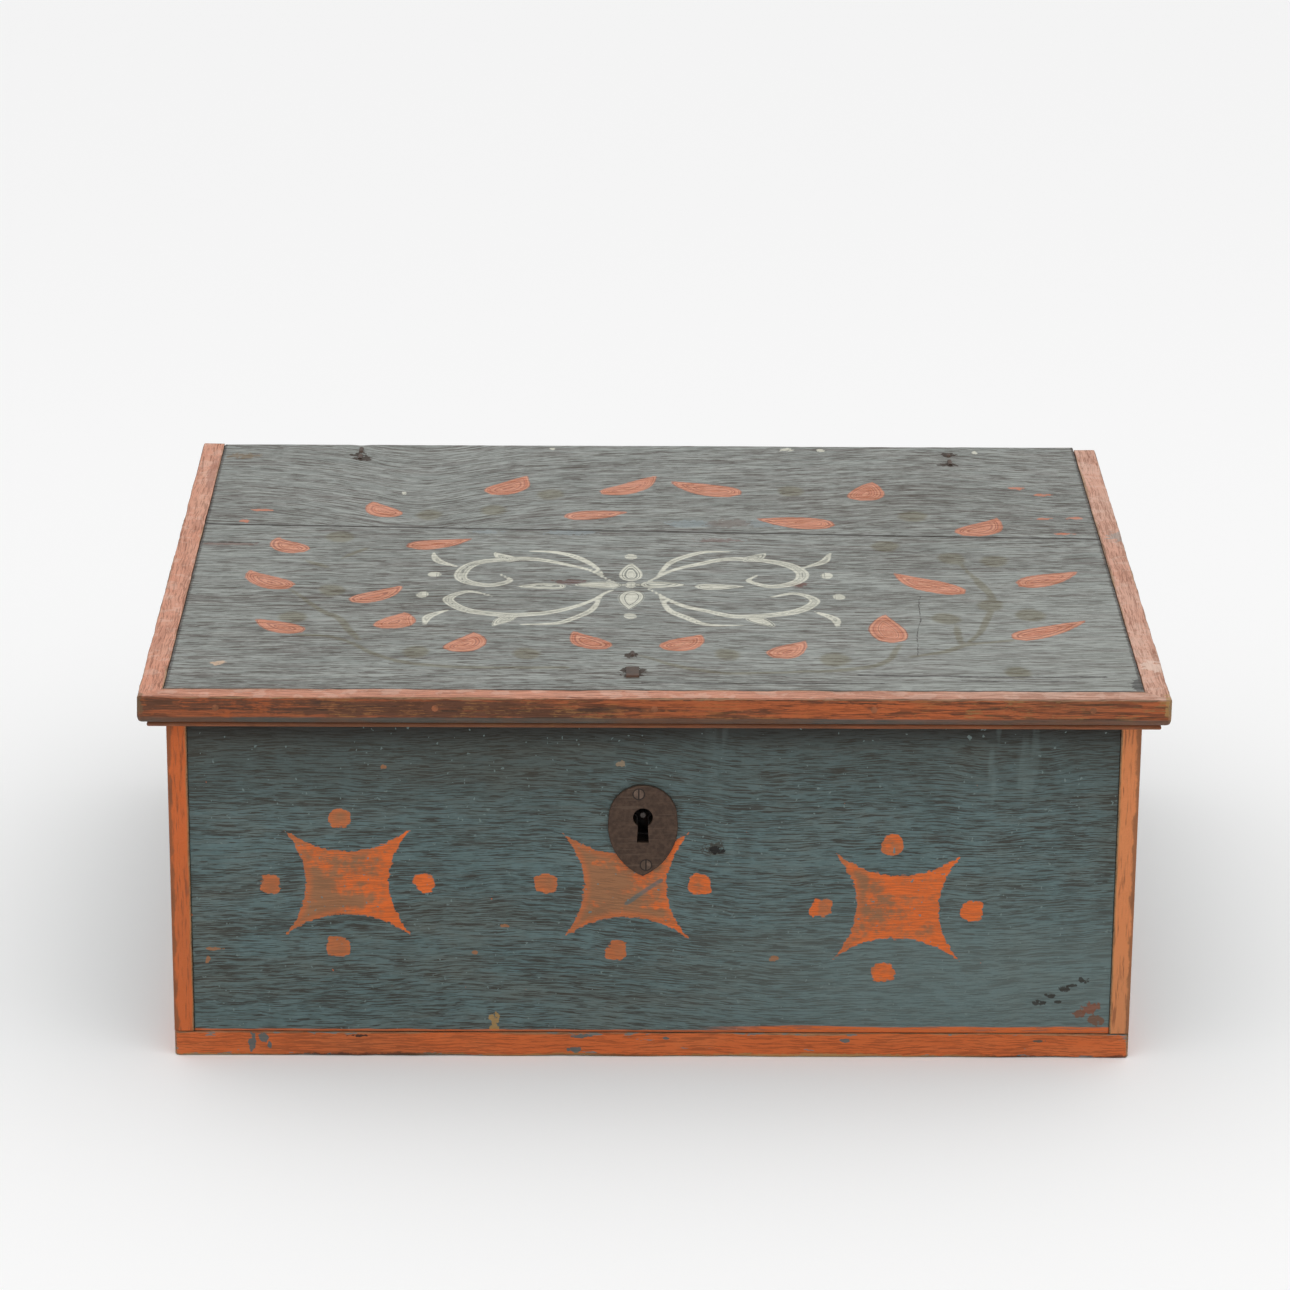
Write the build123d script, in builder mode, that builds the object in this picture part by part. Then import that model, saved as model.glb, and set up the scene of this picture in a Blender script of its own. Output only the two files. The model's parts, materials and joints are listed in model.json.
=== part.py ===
"""Painted oak box with a hinged lid and an iron lock, made as a joiner and a smith would make it.

Units are millimetres. X runs from left to right, Y from the front to the back and Z up.
The origin is on the ground, under the middle of the closed box with its overhanging lid.
"""
import os
from math import asin, atan2, cos, degrees, hypot, radians, sin, tan

from build123d import *

os.makedirs("parts", exist_ok=True)

# Body of the box
body_width = 474.8
body_depth = 385.0
box_height = 195.0          # from the ground to the top of the closed lid
side_thickness = 10.0
front_thickness = 11.0
back_thickness = 11.0
base_thickness = 13.0
front_inset = 0.8           # the front board lies this far behind the edges of the side boards
base_joint_y = 18.0         # where the two bottom boards meet
base_corner_radius = 2.5
arris = 0.5                 # how much the plane takes off the edges of a board

# Lid
panel_thickness = 11.0
moulding_width = 12.0
moulding_height = 17.0      # the strips hang below the panel as a dust lip
moulding_face = 10.2        # the flat upper part of the strip's outer face
ovolo_reach = 4.2           # the round under the face goes in by this much
ovolo_drop = 3.9            # and down by this much
quirk_depth = 0.8
quirk_height = 0.5
bead_round = 0.7            # the bead at the bottom swells out by this much
lip_clearance = 0.6         # between the strips and the body
rear_overhang = 12.4
lid_corner_wear = 1.6       # flat worn on the two front corners, across each of their sides
top_arris_radius = 0.9
right_strip_short = 6.0     # the right strip stops this far before the lid's back edge
joint_left_y = 62.0         # the joint of the two lid boards runs a little askew
joint_right_y = 41.5
seat_gap = 0.3              # between the lid and the walls it rests on

# Hinges, each an eye pin through the lid linked with a staple through the back board
wire_radius = 1.4           # to the corners of the wire, which the smith hammered to several sides
wire_sides = 8
eye_play = 0.3              # between the staple's bar and the eye
hinge_behind = 0.5          # the hinge axis lies this far behind the back board
hinge_below = 2.0           # and this far below the underside of the lid's panel
eye_leg_gap = 0.1           # between the two legs of an eye pin
eye_neck = 3.3              # from the widest part of the eye to where its legs meet
eye_slack = 0.8             # how far the eye stays at full width above its centre
staple_play = 0.8           # on each side between the eye and the staple's legs
staple_tilt = 40.0          # degrees that the staple's legs point down into the box
staple_clench = 10.0        # length of each bent-over end inside the box
bend_radius = 1.9
clench_proud = 0.8          # how far bent-over ends stand above the wood
notch_clearance = 0.5
hinge_pins = {              # lean of each pin, and where its front and back ends lie from the axis
    "left": (30.0, -16.0, 3.9),
    "right": (45.0, -23.1, -3.1),
}
left_hinge_inset = 76.4     # from the side of the body to the middle of the eye
right_hinge_inset = 70.4

# Nails
nail_shank = 2.6
nail_tip = 1.2
nail_head = 6.4
nail_head_height = 1.2
rivet_taper = 30.0          # degrees that the sides of rivet heads lean in
brad_head = 3.4
brad_shank = 1.8
brad_tip = 0.9
corner_nail_length = 32.0
corner_nail_rows = (0.17, 0.5, 0.84)    # as shares of the height of the walls
bottom_nail_length = 27.0
bottom_nail_rows = 4
bottom_nail_margin = 40.0
bottom_nail_columns = 3
moulding_nail_length = 26.0
moulding_nail_columns = 5
moulding_nail_rows = 4
moulding_nail_margin = 38.0
moulding_nail_drop = 5.5    # below the top of the lid

# Escutcheon and keyhole
lock_x = -5.2
keyhole_depth = 66.5        # from the top of the lid down to the middle of the keyhole
escutcheon_width = 33.6
escutcheon_tip = 31.0       # from the middle of the keyhole to the pointed lower end
escutcheon_fullness = 0.89  # half width midway down to the tip, as a share of the widest
escutcheon_thickness = 1.8
escutcheon_edge = 0.6
keyhole_round = 9.8
keyhole_foot = 13.2         # from the middle of the keyhole to its lower edge
keyhole_waist = 4.5
keyhole_flare = 5.9
keyhole_relief = 0.5        # the hole in the wood is larger all round
screw_top = (-2.1, 12.3)    # across and up from the middle of the keyhole
screw_bottom = (1.6, -25.0)
screw_head_radius = 2.5
screw_shank_radius = 1.3
screw_length = 10.0
screw_rim = 0.4             # height of the upright edge of the head
screw_point = 3.0
screw_slot = 0.7
screw_slot_depth = 0.8

# Lock
plate_width = 96.0
plate_drop = 2.6            # from the top edge of the front board
plate_below_key = 26.0
plate_thickness = 1.6
selvage_depth = 14.6
case_depth = 13.0
case_wall = 1.2
case_below_key = 21.0
case_ear = 9.0
case_margin = 7.0           # from the case's ears to the edges of the plate
case_corner_radius = 1.6
rivet_radius = 1.6
rivet_head_radius = 2.6
rivet_head_height = 1.0
rivet_margin = 12.0
lock_nail_length = 9.0
lock_nail_inset = 3.6
key_pin_radius = 1.5
key_pin_front_gap = 1.5     # from the outer face of the front board to the pin's end
bolt_thickness = 3.2
bolt_travel = 10.0
bolt_tail_low = 9.0         # above the middle of the keyhole
bolt_tail_high = 26.5
bolt_tail_right = 18.5      # from the middle of the keyhole, with the bolt drawn back
bolt_neck_width = 10.0
bolt_case_gap = 1.9         # between the drawn bolt and the side of the case
bolt_toe_height = 8.0
bolt_toe_drop = 7.0         # below the plate's top flange
bolt_toe_gap = 1.5          # between the toe and the keeper's loop, with the bolt drawn back
bolt_neck_gap = 0.6         # between the neck and the loop, with the bolt thrown
talon_width = 9.0
talon_height = 5.0
stud_height = 20.5          # above the middle of the keyhole
stud_left = -8.8
stud_right = 10.0
stud_radius = 2.0
stud_collar_radius = 3.6
stud_clearance = 0.2
spring_thickness = 0.8
spring_width = 7.0
spring_foot = 12.0
spring_gap = 0.3
spring_nose = 4.0           # where the leaf bears on the bolt, right of the keyhole
spring_tip = 4.0            # the curled end beyond the nose
spring_lift = 2.0
spring_bend = 2.0

# Keeper under the lid
keeper_width = 26.0
keeper_length = 46.0
keeper_thickness = 1.5
keeper_corner_radius = 3.0
loop_width = 6.0
loop_bar = 2.2
loop_opening = 5.4          # across the bolt
loop_from_plate = 6.2       # the loop's middle, behind the inner face of the lock plate
loop_below_toe = 1.5
loop_corner_radius = 1.4
slot_clearance = 1.3
tang_width = 6.4
tang_thickness = 2.4
tang_clench = 13.0
tang_bend = 1.2
keeper_clearance = 0.9      # behind the inner face of the front board
keeper_nail_back = 29.0     # from the loop's middle to the nail
keeper_nail_radius = 1.1
keeper_nail_head_radius = 3.0
keeper_nail_head_height = 1.0
keeper_nail_clench = 6.0

# Levels and planes that follow from the sizes above
lid_width = body_width + 2 * (lip_clearance + moulding_width)
lid_depth = moulding_width + lip_clearance + body_depth + rear_overhang
lid_front = -lid_depth / 2
lid_back = lid_depth / 2
front_plane = lid_front + moulding_width + lip_clearance
back_plane = front_plane + body_depth
half_body = body_width / 2
half_inside = half_body - side_thickness
board_face = front_plane + front_inset
board_inner = board_face + front_thickness
back_inner = back_plane - back_thickness
panel_half = half_body + lip_clearance
panel_front = lid_front + moulding_width
panel_underside = box_height - panel_thickness
wall_top = panel_underside - seat_gap
wall_height = wall_top - base_thickness

hinge_x = {"left": left_hinge_inset - half_body, "right": half_body - right_hinge_inset}
axis_y = back_plane + hinge_behind
axis_z = panel_underside - hinge_below
eye_mean = 2 * wire_radius + eye_play           # radius of the eye's middle line
eye_outer = eye_mean + wire_radius
leg_offset = wire_radius + eye_leg_gap / 2
staple_half = 2 * wire_radius + staple_play     # from the eye's middle to the middle of a staple leg

key_z = box_height - keyhole_depth
case_width = plate_width - 2 * (case_ear + case_margin)
plate_top = wall_top - plate_drop
plate_bottom = key_z - plate_below_key
plate_inner = board_inner + plate_thickness
case_back = plate_inner + case_depth
case_bottom = key_z - case_below_key
case_top = plate_top - plate_thickness
loop_y = plate_inner + loop_from_plate
loop_outer = loop_opening + 2 * loop_bar
bolt_front = loop_y - bolt_thickness / 2
neck_left = lock_x - case_width / 2 + case_wall + bolt_case_gap
neck_right = neck_left + bolt_neck_width
keeper_left = neck_right + bolt_travel + bolt_neck_gap
keeper_x = keeper_left + loop_width / 2
toe_tip = keeper_left - bolt_toe_gap
loop_top = panel_underside - keeper_thickness
toe_high = case_top - bolt_toe_drop
toe_low = toe_high - bolt_toe_height
loop_bottom = toe_low - loop_below_toe - loop_bar
stud_z = key_z + stud_height


def facing(y):
    """A plane across the box at y, seen from the front, whose sketches use the box's own X and Z."""
    return Plane(origin=(0, y, 0), x_dir=(1, 0, 0), z_dir=(0, -1, 0))


def seen_from_side(x):
    """A plane across the box at x, whose sketches use the box's own Y and Z."""
    return Plane(origin=(x, 0, 0), x_dir=(0, 1, 0), z_dir=(1, 0, 0))


def board(low, high):
    """A plain board between two corners of the box's frame."""
    size = [b - a for a, b in zip(low, high)]
    middle = tuple((a + b) / 2 for a, b in zip(low, high))
    with BuildPart() as plank:
        with Locations(middle):
            Box(*size)
        chamfer(plank.edges(), arris)
    return plank.part


def forged_nail(length, shank, tip, head):
    """A tapered square nail that points down, with the top of its eight-sided head at the origin."""
    with BuildPart() as nail:
        with BuildSketch():
            Rectangle(shank, shank)
        with BuildSketch(Plane.XY.offset(-length)):
            Rectangle(tip, tip)
        loft()
        with BuildSketch(Plane.XY.offset(-nail_head_height)):
            RegularPolygon(radius=head / 2, side_count=8)
        extrude(amount=nail_head_height)
    return nail.part


def nails(places, length, shank=nail_shank, tip=nail_tip, head=nail_head):
    """The same nail at each plane in places, whose direction is the way that its head faces."""
    one = forged_nail(length, shank, tip, head)
    with BuildPart() as group:
        with Locations(*[plane.location for plane in places]):
            add(one)
    return group.part


def spread(count, half_length):
    """Places spread evenly along a line, from minus to plus half_length."""
    return [half_length * (2 * i / (count - 1) - 1) for i in range(count)]


def keyhole(grow=0.0, mode=Mode.ADD):
    """The keyhole's outline on a plane that faces the front: a round above a slot that flares."""
    foot = key_z - keyhole_foot - grow
    waist = keyhole_waist / 2 + grow
    flare = keyhole_flare / 2 + grow
    with BuildSketch(mode=Mode.PRIVATE) as shape:
        with Locations((lock_x, key_z)):
            Circle(keyhole_round / 2 + grow)
        with BuildLine():
            Polyline((lock_x - waist, key_z), (lock_x - flare, foot), (lock_x + flare, foot),
                     (lock_x + waist, key_z), close=True)
        make_face()
    add(shape.sketch, mode=mode)


# Nails come first, because each board is bored by the nails that pass through it
corner_nail_places = []
for side in (-1, 1):
    for y in (board_face + front_thickness / 2, back_plane - back_thickness / 2):
        for row in corner_nail_rows:
            z = base_thickness + row * wall_height
            corner_nail_places.append(Plane(origin=(side * half_body, y, z), z_dir=(side, 0, 0)))

with BuildPart() as corner_nails:
    add(nails(corner_nail_places, corner_nail_length))

bottom_nail_places = []
for side in (-1, 1):
    for y in spread(bottom_nail_rows, body_depth / 2 - bottom_nail_margin):
        x = side * (half_body - side_thickness / 2)
        bottom_nail_places.append((x, y + (front_plane + back_plane) / 2))
for x in spread(bottom_nail_columns, half_body - 2 * bottom_nail_margin):
    bottom_nail_places.append((x, board_face + front_thickness / 2))
    bottom_nail_places.append((x, back_plane - back_thickness / 2))

with BuildPart() as bottom_nails:
    add(nails([Plane(origin=(x, y, 0), z_dir=(0, 0, -1)) for x, y in bottom_nail_places],
              bottom_nail_length))

brad_z = box_height - moulding_nail_drop
moulding_nail_places = []
for x in spread(moulding_nail_columns, lid_width / 2 - moulding_nail_margin):
    moulding_nail_places.append(Plane(origin=(x, lid_front, brad_z), z_dir=(0, -1, 0)))
for side in (-1, 1):
    for y in spread(moulding_nail_rows, lid_depth / 2 - moulding_nail_margin):
        moulding_nail_places.append(Plane(origin=(side * lid_width / 2, y, brad_z), z_dir=(side, 0, 0)))

with BuildPart() as moulding_nails:
    add(nails(moulding_nail_places, moulding_nail_length, brad_shank, brad_tip, brad_head))

lock_nail_places = []
for x in (-plate_width / 2 + lock_nail_inset, plate_width / 2 - lock_nail_inset):
    for z in (plate_bottom + 2 * lock_nail_inset, plate_top - 3 * lock_nail_inset):
        lock_nail_places.append(Plane(origin=(lock_x + x, plate_inner, z), z_dir=(0, 1, 0)))

with BuildPart() as lock_nails:
    add(nails(lock_nail_places, lock_nail_length, brad_shank, brad_tip, 2 * lock_nail_inset - 2))


def eye_route(lean, front_end, back_end):
    """The line that an eye pin's wire follows, as points from the hinge axis in Y and Z."""
    lean = radians(lean)
    top = box_height + clench_proud - wire_radius - axis_z

    def point(along, across):
        return (-along * sin(lean) + across * cos(lean), along * cos(lean) + across * sin(lean))

    def at_top(across):
        return point((top - across * sin(lean)) / cos(lean), across)

    neck = eye_slack + eye_neck
    return [(front_end, top), at_top(-leg_offset), point(neck, -leg_offset), point(eye_slack, -eye_mean),
            point(-eye_mean, -eye_mean), point(-eye_mean, eye_mean), point(eye_slack, eye_mean),
            point(neck, leg_offset), at_top(leg_offset), (back_end, top)]


def eye_pin(x, lean, front_end, back_end):
    """A smith's eye pin: wire bent round into an eye, with two legs parted on top of the lid."""
    plane = Plane(origin=(x, axis_y, axis_z), x_dir=(0, 1, 0), z_dir=(1, 0, 0))
    round_the_eye = 0.97 * eye_mean
    with BuildPart() as pin:
        with BuildLine(plane) as route:
            FilletPolyline(*eye_route(lean, front_end, back_end),
                           radius=[bend_radius, bend_radius, bend_radius, round_the_eye,
                                   round_the_eye, bend_radius, bend_radius, bend_radius])
        with BuildSketch(Plane(origin=route.line @ 0, z_dir=route.line % 0)):
            RegularPolygon(radius=wire_radius, side_count=wire_sides)
        sweep()
    return pin.part


def hinge_staple(x):
    """A staple through the back board: a bar that carries the eye, and two legs bent out inside."""
    tilt = radians(staple_tilt)
    reach = (axis_y - back_inner + wire_radius) / cos(tilt)
    plane = Plane(origin=(x, axis_y, axis_z), x_dir=(1, 0, 0), z_dir=(0, -sin(tilt), cos(tilt)))
    outer = staple_half + staple_clench
    with BuildPart() as staple:
        with BuildLine(plane) as route:
            FilletPolyline((-outer, -reach), (-staple_half, -reach), (-staple_half, 0),
                           (staple_half, 0), (staple_half, -reach), (outer, -reach), radius=bend_radius)
        with BuildSketch(Plane(origin=route.line @ 0, z_dir=route.line % 0)):
            RegularPolygon(radius=wire_radius, side_count=wire_sides)
        sweep()
    return staple.part


with BuildPart() as hinge_eye_left:
    add(eye_pin(hinge_x["left"], *hinge_pins["left"]))

with BuildPart() as hinge_eye_right:
    add(eye_pin(hinge_x["right"], *hinge_pins["right"]))

with BuildPart() as hinge_staple_left:
    add(hinge_staple(hinge_x["left"]))

with BuildPart() as hinge_staple_right:
    add(hinge_staple(hinge_x["right"]))

# Escutcheon: a drop of sheet iron with its point down, screwed over the keyhole
screw_places = [(lock_x + x, key_z + z) for x, z in (screw_top, screw_bottom)]
escutcheon_face = board_face - escutcheon_thickness

with BuildPart() as escutcheon_screws:
    with BuildSketch(Plane.XZ) as half_screw:
        with BuildLine():
            Polyline((0, 0), (screw_head_radius, 0), (screw_head_radius, -screw_rim),
                     (screw_shank_radius, -screw_rim - screw_head_radius + screw_shank_radius),
                     (screw_shank_radius, screw_point - screw_length), (0, -screw_length), close=True)
        make_face()
    screw = revolve(axis=Axis.Z, mode=Mode.PRIVATE)
    slot = Box(3 * screw_head_radius, screw_slot, 2 * screw_slot_depth, mode=Mode.PRIVATE)
    cut_screw = screw - slot
    with Locations(*[Plane(origin=(x, escutcheon_face, z), z_dir=(0, -1, 0)).location
                     for x, z in screw_places]):
        add(cut_screw)

with BuildPart() as escutcheon:
    with BuildSketch(facing(board_face)):
        half = escutcheon_width / 2
        with BuildLine():
            shoulder = (escutcheon_fullness * half, -escutcheon_tip / 2)
            ThreePointArc((lock_x - half, key_z), (lock_x, key_z + half), (lock_x + half, key_z))
            ThreePointArc((lock_x + half, key_z), (lock_x + shoulder[0], key_z + shoulder[1]),
                          (lock_x, key_z - escutcheon_tip))
            ThreePointArc((lock_x, key_z - escutcheon_tip), (lock_x - shoulder[0], key_z + shoulder[1]),
                          (lock_x - half, key_z))
        make_face()
    extrude(amount=escutcheon_thickness)
    outer_face = escutcheon.faces().sort_by(Axis.Y)[0]
    fillet(outer_face.edges(), escutcheon_edge)
    with BuildSketch(facing(board_face)):
        keyhole()
    extrude(amount=escutcheon_thickness, mode=Mode.SUBTRACT)
    add(escutcheon_screws.part, mode=Mode.SUBTRACT)

# Lock: a plate with a flange on top, a case over the works, the bolt on its two studs, and a spring
slot_low_y = loop_y - loop_outer / 2 - slot_clearance
slot_high_y = loop_y + loop_outer / 2 + slot_clearance / 2
rivet_x = case_width / 2 + case_ear / 2
rivet_places = [(lock_x + side * rivet_x, z) for side in (-1, 1)
                for z in (case_bottom + rivet_margin, case_top - rivet_margin)]

with BuildPart() as lock_case_rivets:
    for x, z in rivet_places:
        with BuildSketch(facing(board_inner)):
            with Locations((x, z)):
                Circle(rivet_radius)
        extrude(amount=-(plate_thickness + case_wall))
        with BuildSketch(facing(plate_inner + case_wall)):
            with Locations((x, z)):
                Circle(rivet_head_radius)
        extrude(amount=-rivet_head_height, taper=rivet_taper)

with BuildPart() as lock_key_pin:
    with BuildSketch(facing(board_face + key_pin_front_gap)):
        with Locations((lock_x, key_z)):
            Circle(key_pin_radius)
    extrude(amount=-(case_back - board_face - key_pin_front_gap))
    chamfer(lock_key_pin.faces().sort_by(Axis.Y)[0].edges(), key_pin_radius / 4)
    with BuildSketch(facing(case_back)):
        with Locations((lock_x, key_z)):
            Circle(2 * key_pin_radius)
    extrude(amount=-rivet_head_height, taper=rivet_taper)

with BuildPart() as lock_bolt_studs:
    for x in (stud_left, stud_right):
        with BuildSketch(facing(board_inner)):
            with Locations((lock_x + x, stud_z)):
                Circle(stud_radius)
        extrude(amount=-(case_back - case_wall - board_inner))
        with BuildSketch(facing(plate_inner)):
            with Locations((lock_x + x, stud_z)):
                Circle(stud_collar_radius)
        extrude(amount=-(bolt_front - stud_clearance - plate_inner))

with BuildPart() as lock_plate:
    with BuildSketch(facing(board_inner)):
        with Locations((lock_x, (plate_top + plate_bottom) / 2)):
            Rectangle(plate_width, plate_top - plate_bottom)
        keyhole(mode=Mode.SUBTRACT)
    extrude(amount=-plate_thickness)
    with BuildSketch(Plane.XY.offset(plate_top)):
        with Locations((lock_x, board_inner + selvage_depth / 2)):
            Rectangle(plate_width, selvage_depth)
        with Locations((keeper_x, (slot_low_y + slot_high_y) / 2)):
            Rectangle(loop_width + 2 * slot_clearance, slot_high_y - slot_low_y, mode=Mode.SUBTRACT)
    extrude(amount=-plate_thickness)
    for piece in (lock_nails, lock_case_rivets, lock_bolt_studs):
        add(piece.part, mode=Mode.SUBTRACT)

with BuildPart() as lock_case:
    with BuildSketch(facing(plate_inner)):
        with Locations((lock_x, (case_top + case_bottom) / 2)):
            Rectangle(case_width, case_top - case_bottom)
    extrude(amount=-case_depth)
    fillet(lock_case.faces().sort_by(Axis.Y)[-1].edges().sort_by(Axis.Z)[:-1], case_corner_radius)
    with BuildSketch(facing(plate_inner)):
        with Locations((lock_x, (case_top + case_bottom + case_wall) / 2)):
            Rectangle(case_width - 2 * case_wall, case_top - case_bottom - case_wall)
    extrude(amount=-(case_depth - case_wall), mode=Mode.SUBTRACT)
    for side in (-1, 1):
        with BuildSketch(facing(plate_inner)):
            with Locations((lock_x + side * rivet_x, (case_top + case_bottom) / 2)):
                Rectangle(case_ear, case_top - case_bottom)
        extrude(amount=-case_wall)
    add(lock_case_rivets.part, mode=Mode.SUBTRACT)
    add(lock_key_pin.part, mode=Mode.SUBTRACT)

with BuildPart() as lock_bolt:
    tail_right = lock_x + bolt_tail_right
    with BuildSketch(facing(bolt_front)):
        with BuildLine():
            Polyline((neck_left, key_z + bolt_tail_low), (tail_right, key_z + bolt_tail_low),
                     (tail_right, key_z + bolt_tail_high), (neck_right, key_z + bolt_tail_high),
                     (neck_right, toe_low), (toe_tip, toe_low), (toe_tip, toe_high),
                     (neck_left, toe_high), close=True)
        make_face()
        with Locations((lock_x - bolt_travel / 2, key_z + bolt_tail_low + talon_height / 2)):
            Rectangle(talon_width, talon_height, mode=Mode.SUBTRACT)
        for x in (stud_left, stud_right):
            slot_length = bolt_travel + 2 * (stud_radius + stud_clearance)
            with Locations((lock_x + x - bolt_travel / 2, stud_z)):
                SlotOverall(slot_length, 2 * (stud_radius + stud_clearance), mode=Mode.SUBTRACT)
    extrude(amount=-bolt_thickness)
    toe_edges = lock_bolt.edges().filter_by(Axis.Y).group_by(Axis.X)[-1]
    chamfer(toe_edges, arris)

spring_top = key_z + bolt_tail_high + spring_gap
case_right = lock_x + case_width / 2 - case_wall

with BuildPart() as lock_spring:
    with BuildSketch(facing(loop_y - spring_width / 2)):
        with BuildLine():
            FilletPolyline((case_right - spring_thickness / 2, spring_top + spring_foot),
                           (case_right - spring_thickness / 2, spring_top + spring_foot / 3),
                           (lock_x + spring_nose, spring_top + spring_thickness / 2),
                           (lock_x + spring_nose - spring_tip, spring_top + spring_lift),
                           radius=spring_bend)
        trace(line_width=spring_thickness)
    extrude(amount=-spring_width)

# Keeper: a plate under the lid with the loop that the bolt passes through
keeper_front = board_inner + keeper_clearance
tang_top = box_height + clench_proud
nail_y = loop_y + keeper_nail_back

with BuildPart() as keeper_nail:
    with BuildSketch(Plane.XY.offset(loop_top)):
        with Locations((keeper_x, nail_y)):
            Circle(keeper_nail_head_radius)
    extrude(amount=-keeper_nail_head_height, taper=rivet_taper)
    bent_z = box_height + clench_proud / 2 - keeper_nail_radius
    with BuildLine(seen_from_side(keeper_x)) as nail_route:
        FilletPolyline((nail_y, loop_top), (nail_y, bent_z), (nail_y + keeper_nail_clench, bent_z),
                       radius=keeper_nail_radius + 0.3)
    with BuildSketch(Plane(origin=nail_route.line @ 0, z_dir=nail_route.line % 0)):
        Circle(keeper_nail_radius)
    sweep()

with BuildPart() as lock_keeper:
    with BuildSketch(Plane.XY.offset(loop_top)):
        with Locations((keeper_x, keeper_front + keeper_length / 2)):
            RectangleRounded(keeper_width, keeper_length, keeper_corner_radius)
    extrude(amount=keeper_thickness)
    with BuildSketch(seen_from_side(keeper_x)):
        with Locations((loop_y, (loop_top + loop_bottom) / 2)):
            Rectangle(loop_outer, loop_top - loop_bottom)
            fillet(vertices().group_by(Axis.Y)[0], loop_corner_radius)
        with Locations((loop_y, (loop_top + loop_bottom + loop_bar) / 2)):
            Rectangle(loop_opening, loop_top - loop_bottom - loop_bar, mode=Mode.SUBTRACT)
    extrude(amount=loop_width / 2, both=True)
    with BuildSketch(seen_from_side(keeper_x)):
        with BuildLine():
            low = loop_top + keeper_thickness
            Polyline((loop_y - tang_thickness, low), (loop_y, low), (loop_y, tang_top - tang_thickness),
                     (loop_y + tang_clench - tang_thickness, tang_top - tang_thickness),
                     (loop_y + tang_clench, tang_top - tang_thickness - clench_proud),
                     (loop_y + tang_clench, tang_top - tang_thickness / 2),
                     (loop_y + tang_clench - tang_thickness, tang_top),
                     (loop_y - tang_thickness, tang_top), close=True)
        make_face()
        fillet(vertices().sort_by(Axis.X)[:2].sort_by(Axis.Y)[-1], tang_bend)
    extrude(amount=tang_width / 2, both=True)
    add(keeper_nail.part, mode=Mode.SUBTRACT)

# Walls and bottom of the box
with BuildPart() as front_board:
    add(board((-half_inside, board_face, base_thickness), (half_inside, board_inner, wall_top)))
    with BuildSketch(facing(board_face)):
        keyhole(keyhole_relief)
    extrude(amount=-front_thickness, mode=Mode.SUBTRACT)
    for piece in (corner_nails, bottom_nails, escutcheon_screws, lock_nails):
        add(piece.part, mode=Mode.SUBTRACT)


def hinge_notch(x, lean):
    """The notch in the top outer edge of the back board that leaves room for a hinge eye."""
    above = wall_top - axis_z
    shank_reach = above * tan(radians(lean)) + (leg_offset + wire_radius) / cos(radians(lean))
    reach = max(eye_outer, shank_reach) + notch_clearance
    half_width = staple_half + wire_radius + notch_clearance
    low = axis_z - eye_outer - notch_clearance
    with BuildPart() as notch:
        with Locations((x, axis_y, (low + box_height) / 2)):
            Box(2 * half_width, 2 * reach, box_height - low)
    return notch.part


with BuildPart() as back_board:
    add(board((-half_inside, back_inner, base_thickness), (half_inside, back_plane, wall_top)))
    for side, x in hinge_x.items():
        add(hinge_notch(x, hinge_pins[side][0]), mode=Mode.SUBTRACT)
    for piece in (corner_nails, bottom_nails, hinge_staple_left, hinge_staple_right):
        add(piece.part, mode=Mode.SUBTRACT)

with BuildPart() as left_side_board:
    add(board((-half_body, front_plane, base_thickness), (-half_inside, back_plane, wall_top)))
    add(corner_nails.part, mode=Mode.SUBTRACT)
    add(bottom_nails.part, mode=Mode.SUBTRACT)

with BuildPart() as right_side_board:
    add(board((half_inside, front_plane, base_thickness), (half_body, back_plane, wall_top)))
    add(corner_nails.part, mode=Mode.SUBTRACT)
    add(bottom_nails.part, mode=Mode.SUBTRACT)


def bottom_board(low_y, high_y, outer):
    """A bottom board with its corners rounded at the outer edge, which is at the front or the back."""
    with BuildPart() as plank:
        with Locations((0, (low_y + high_y) / 2, base_thickness / 2)):
            Box(body_width, high_y - low_y, base_thickness)
        upright = plank.edges().filter_by(Axis.Z).sort_by(Axis.Y)
        fillet(upright[:2] if outer == "front" else upright[-2:], base_corner_radius)
        chamfer(plank.edges().group_by(Axis.Z)[0], arris)
        add(bottom_nails.part, mode=Mode.SUBTRACT)
    return plank.part


with BuildPart() as bottom_board_front:
    add(bottom_board(front_plane, base_joint_y, "front"))

with BuildPart() as bottom_board_rear:
    add(bottom_board(base_joint_y, back_plane, "back"))


# Lid
def lid_board(outline):
    """A board of the lid, with its top edges eased, bored for the iron that passes through it."""
    with BuildPart() as plank:
        with BuildSketch(Plane.XY.offset(panel_underside)):
            with BuildLine():
                Polyline(*outline, close=True)
            make_face()
        extrude(amount=panel_thickness)
        chamfer(plank.edges().group_by(Axis.Z)[-1], arris)
        for piece in (moulding_nails, hinge_eye_left, hinge_eye_right, lock_keeper, keeper_nail):
            add(piece.part, mode=Mode.SUBTRACT)
    return plank.part


with BuildPart() as lid_board_front:
    add(lid_board([(-panel_half, panel_front), (panel_half, panel_front),
                   (panel_half, joint_right_y), (-panel_half, joint_left_y)]))

with BuildPart() as lid_board_rear:
    add(lid_board([(-panel_half, joint_left_y), (panel_half, joint_right_y),
                   (panel_half, lid_back), (-panel_half, lid_back)]))

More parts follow.
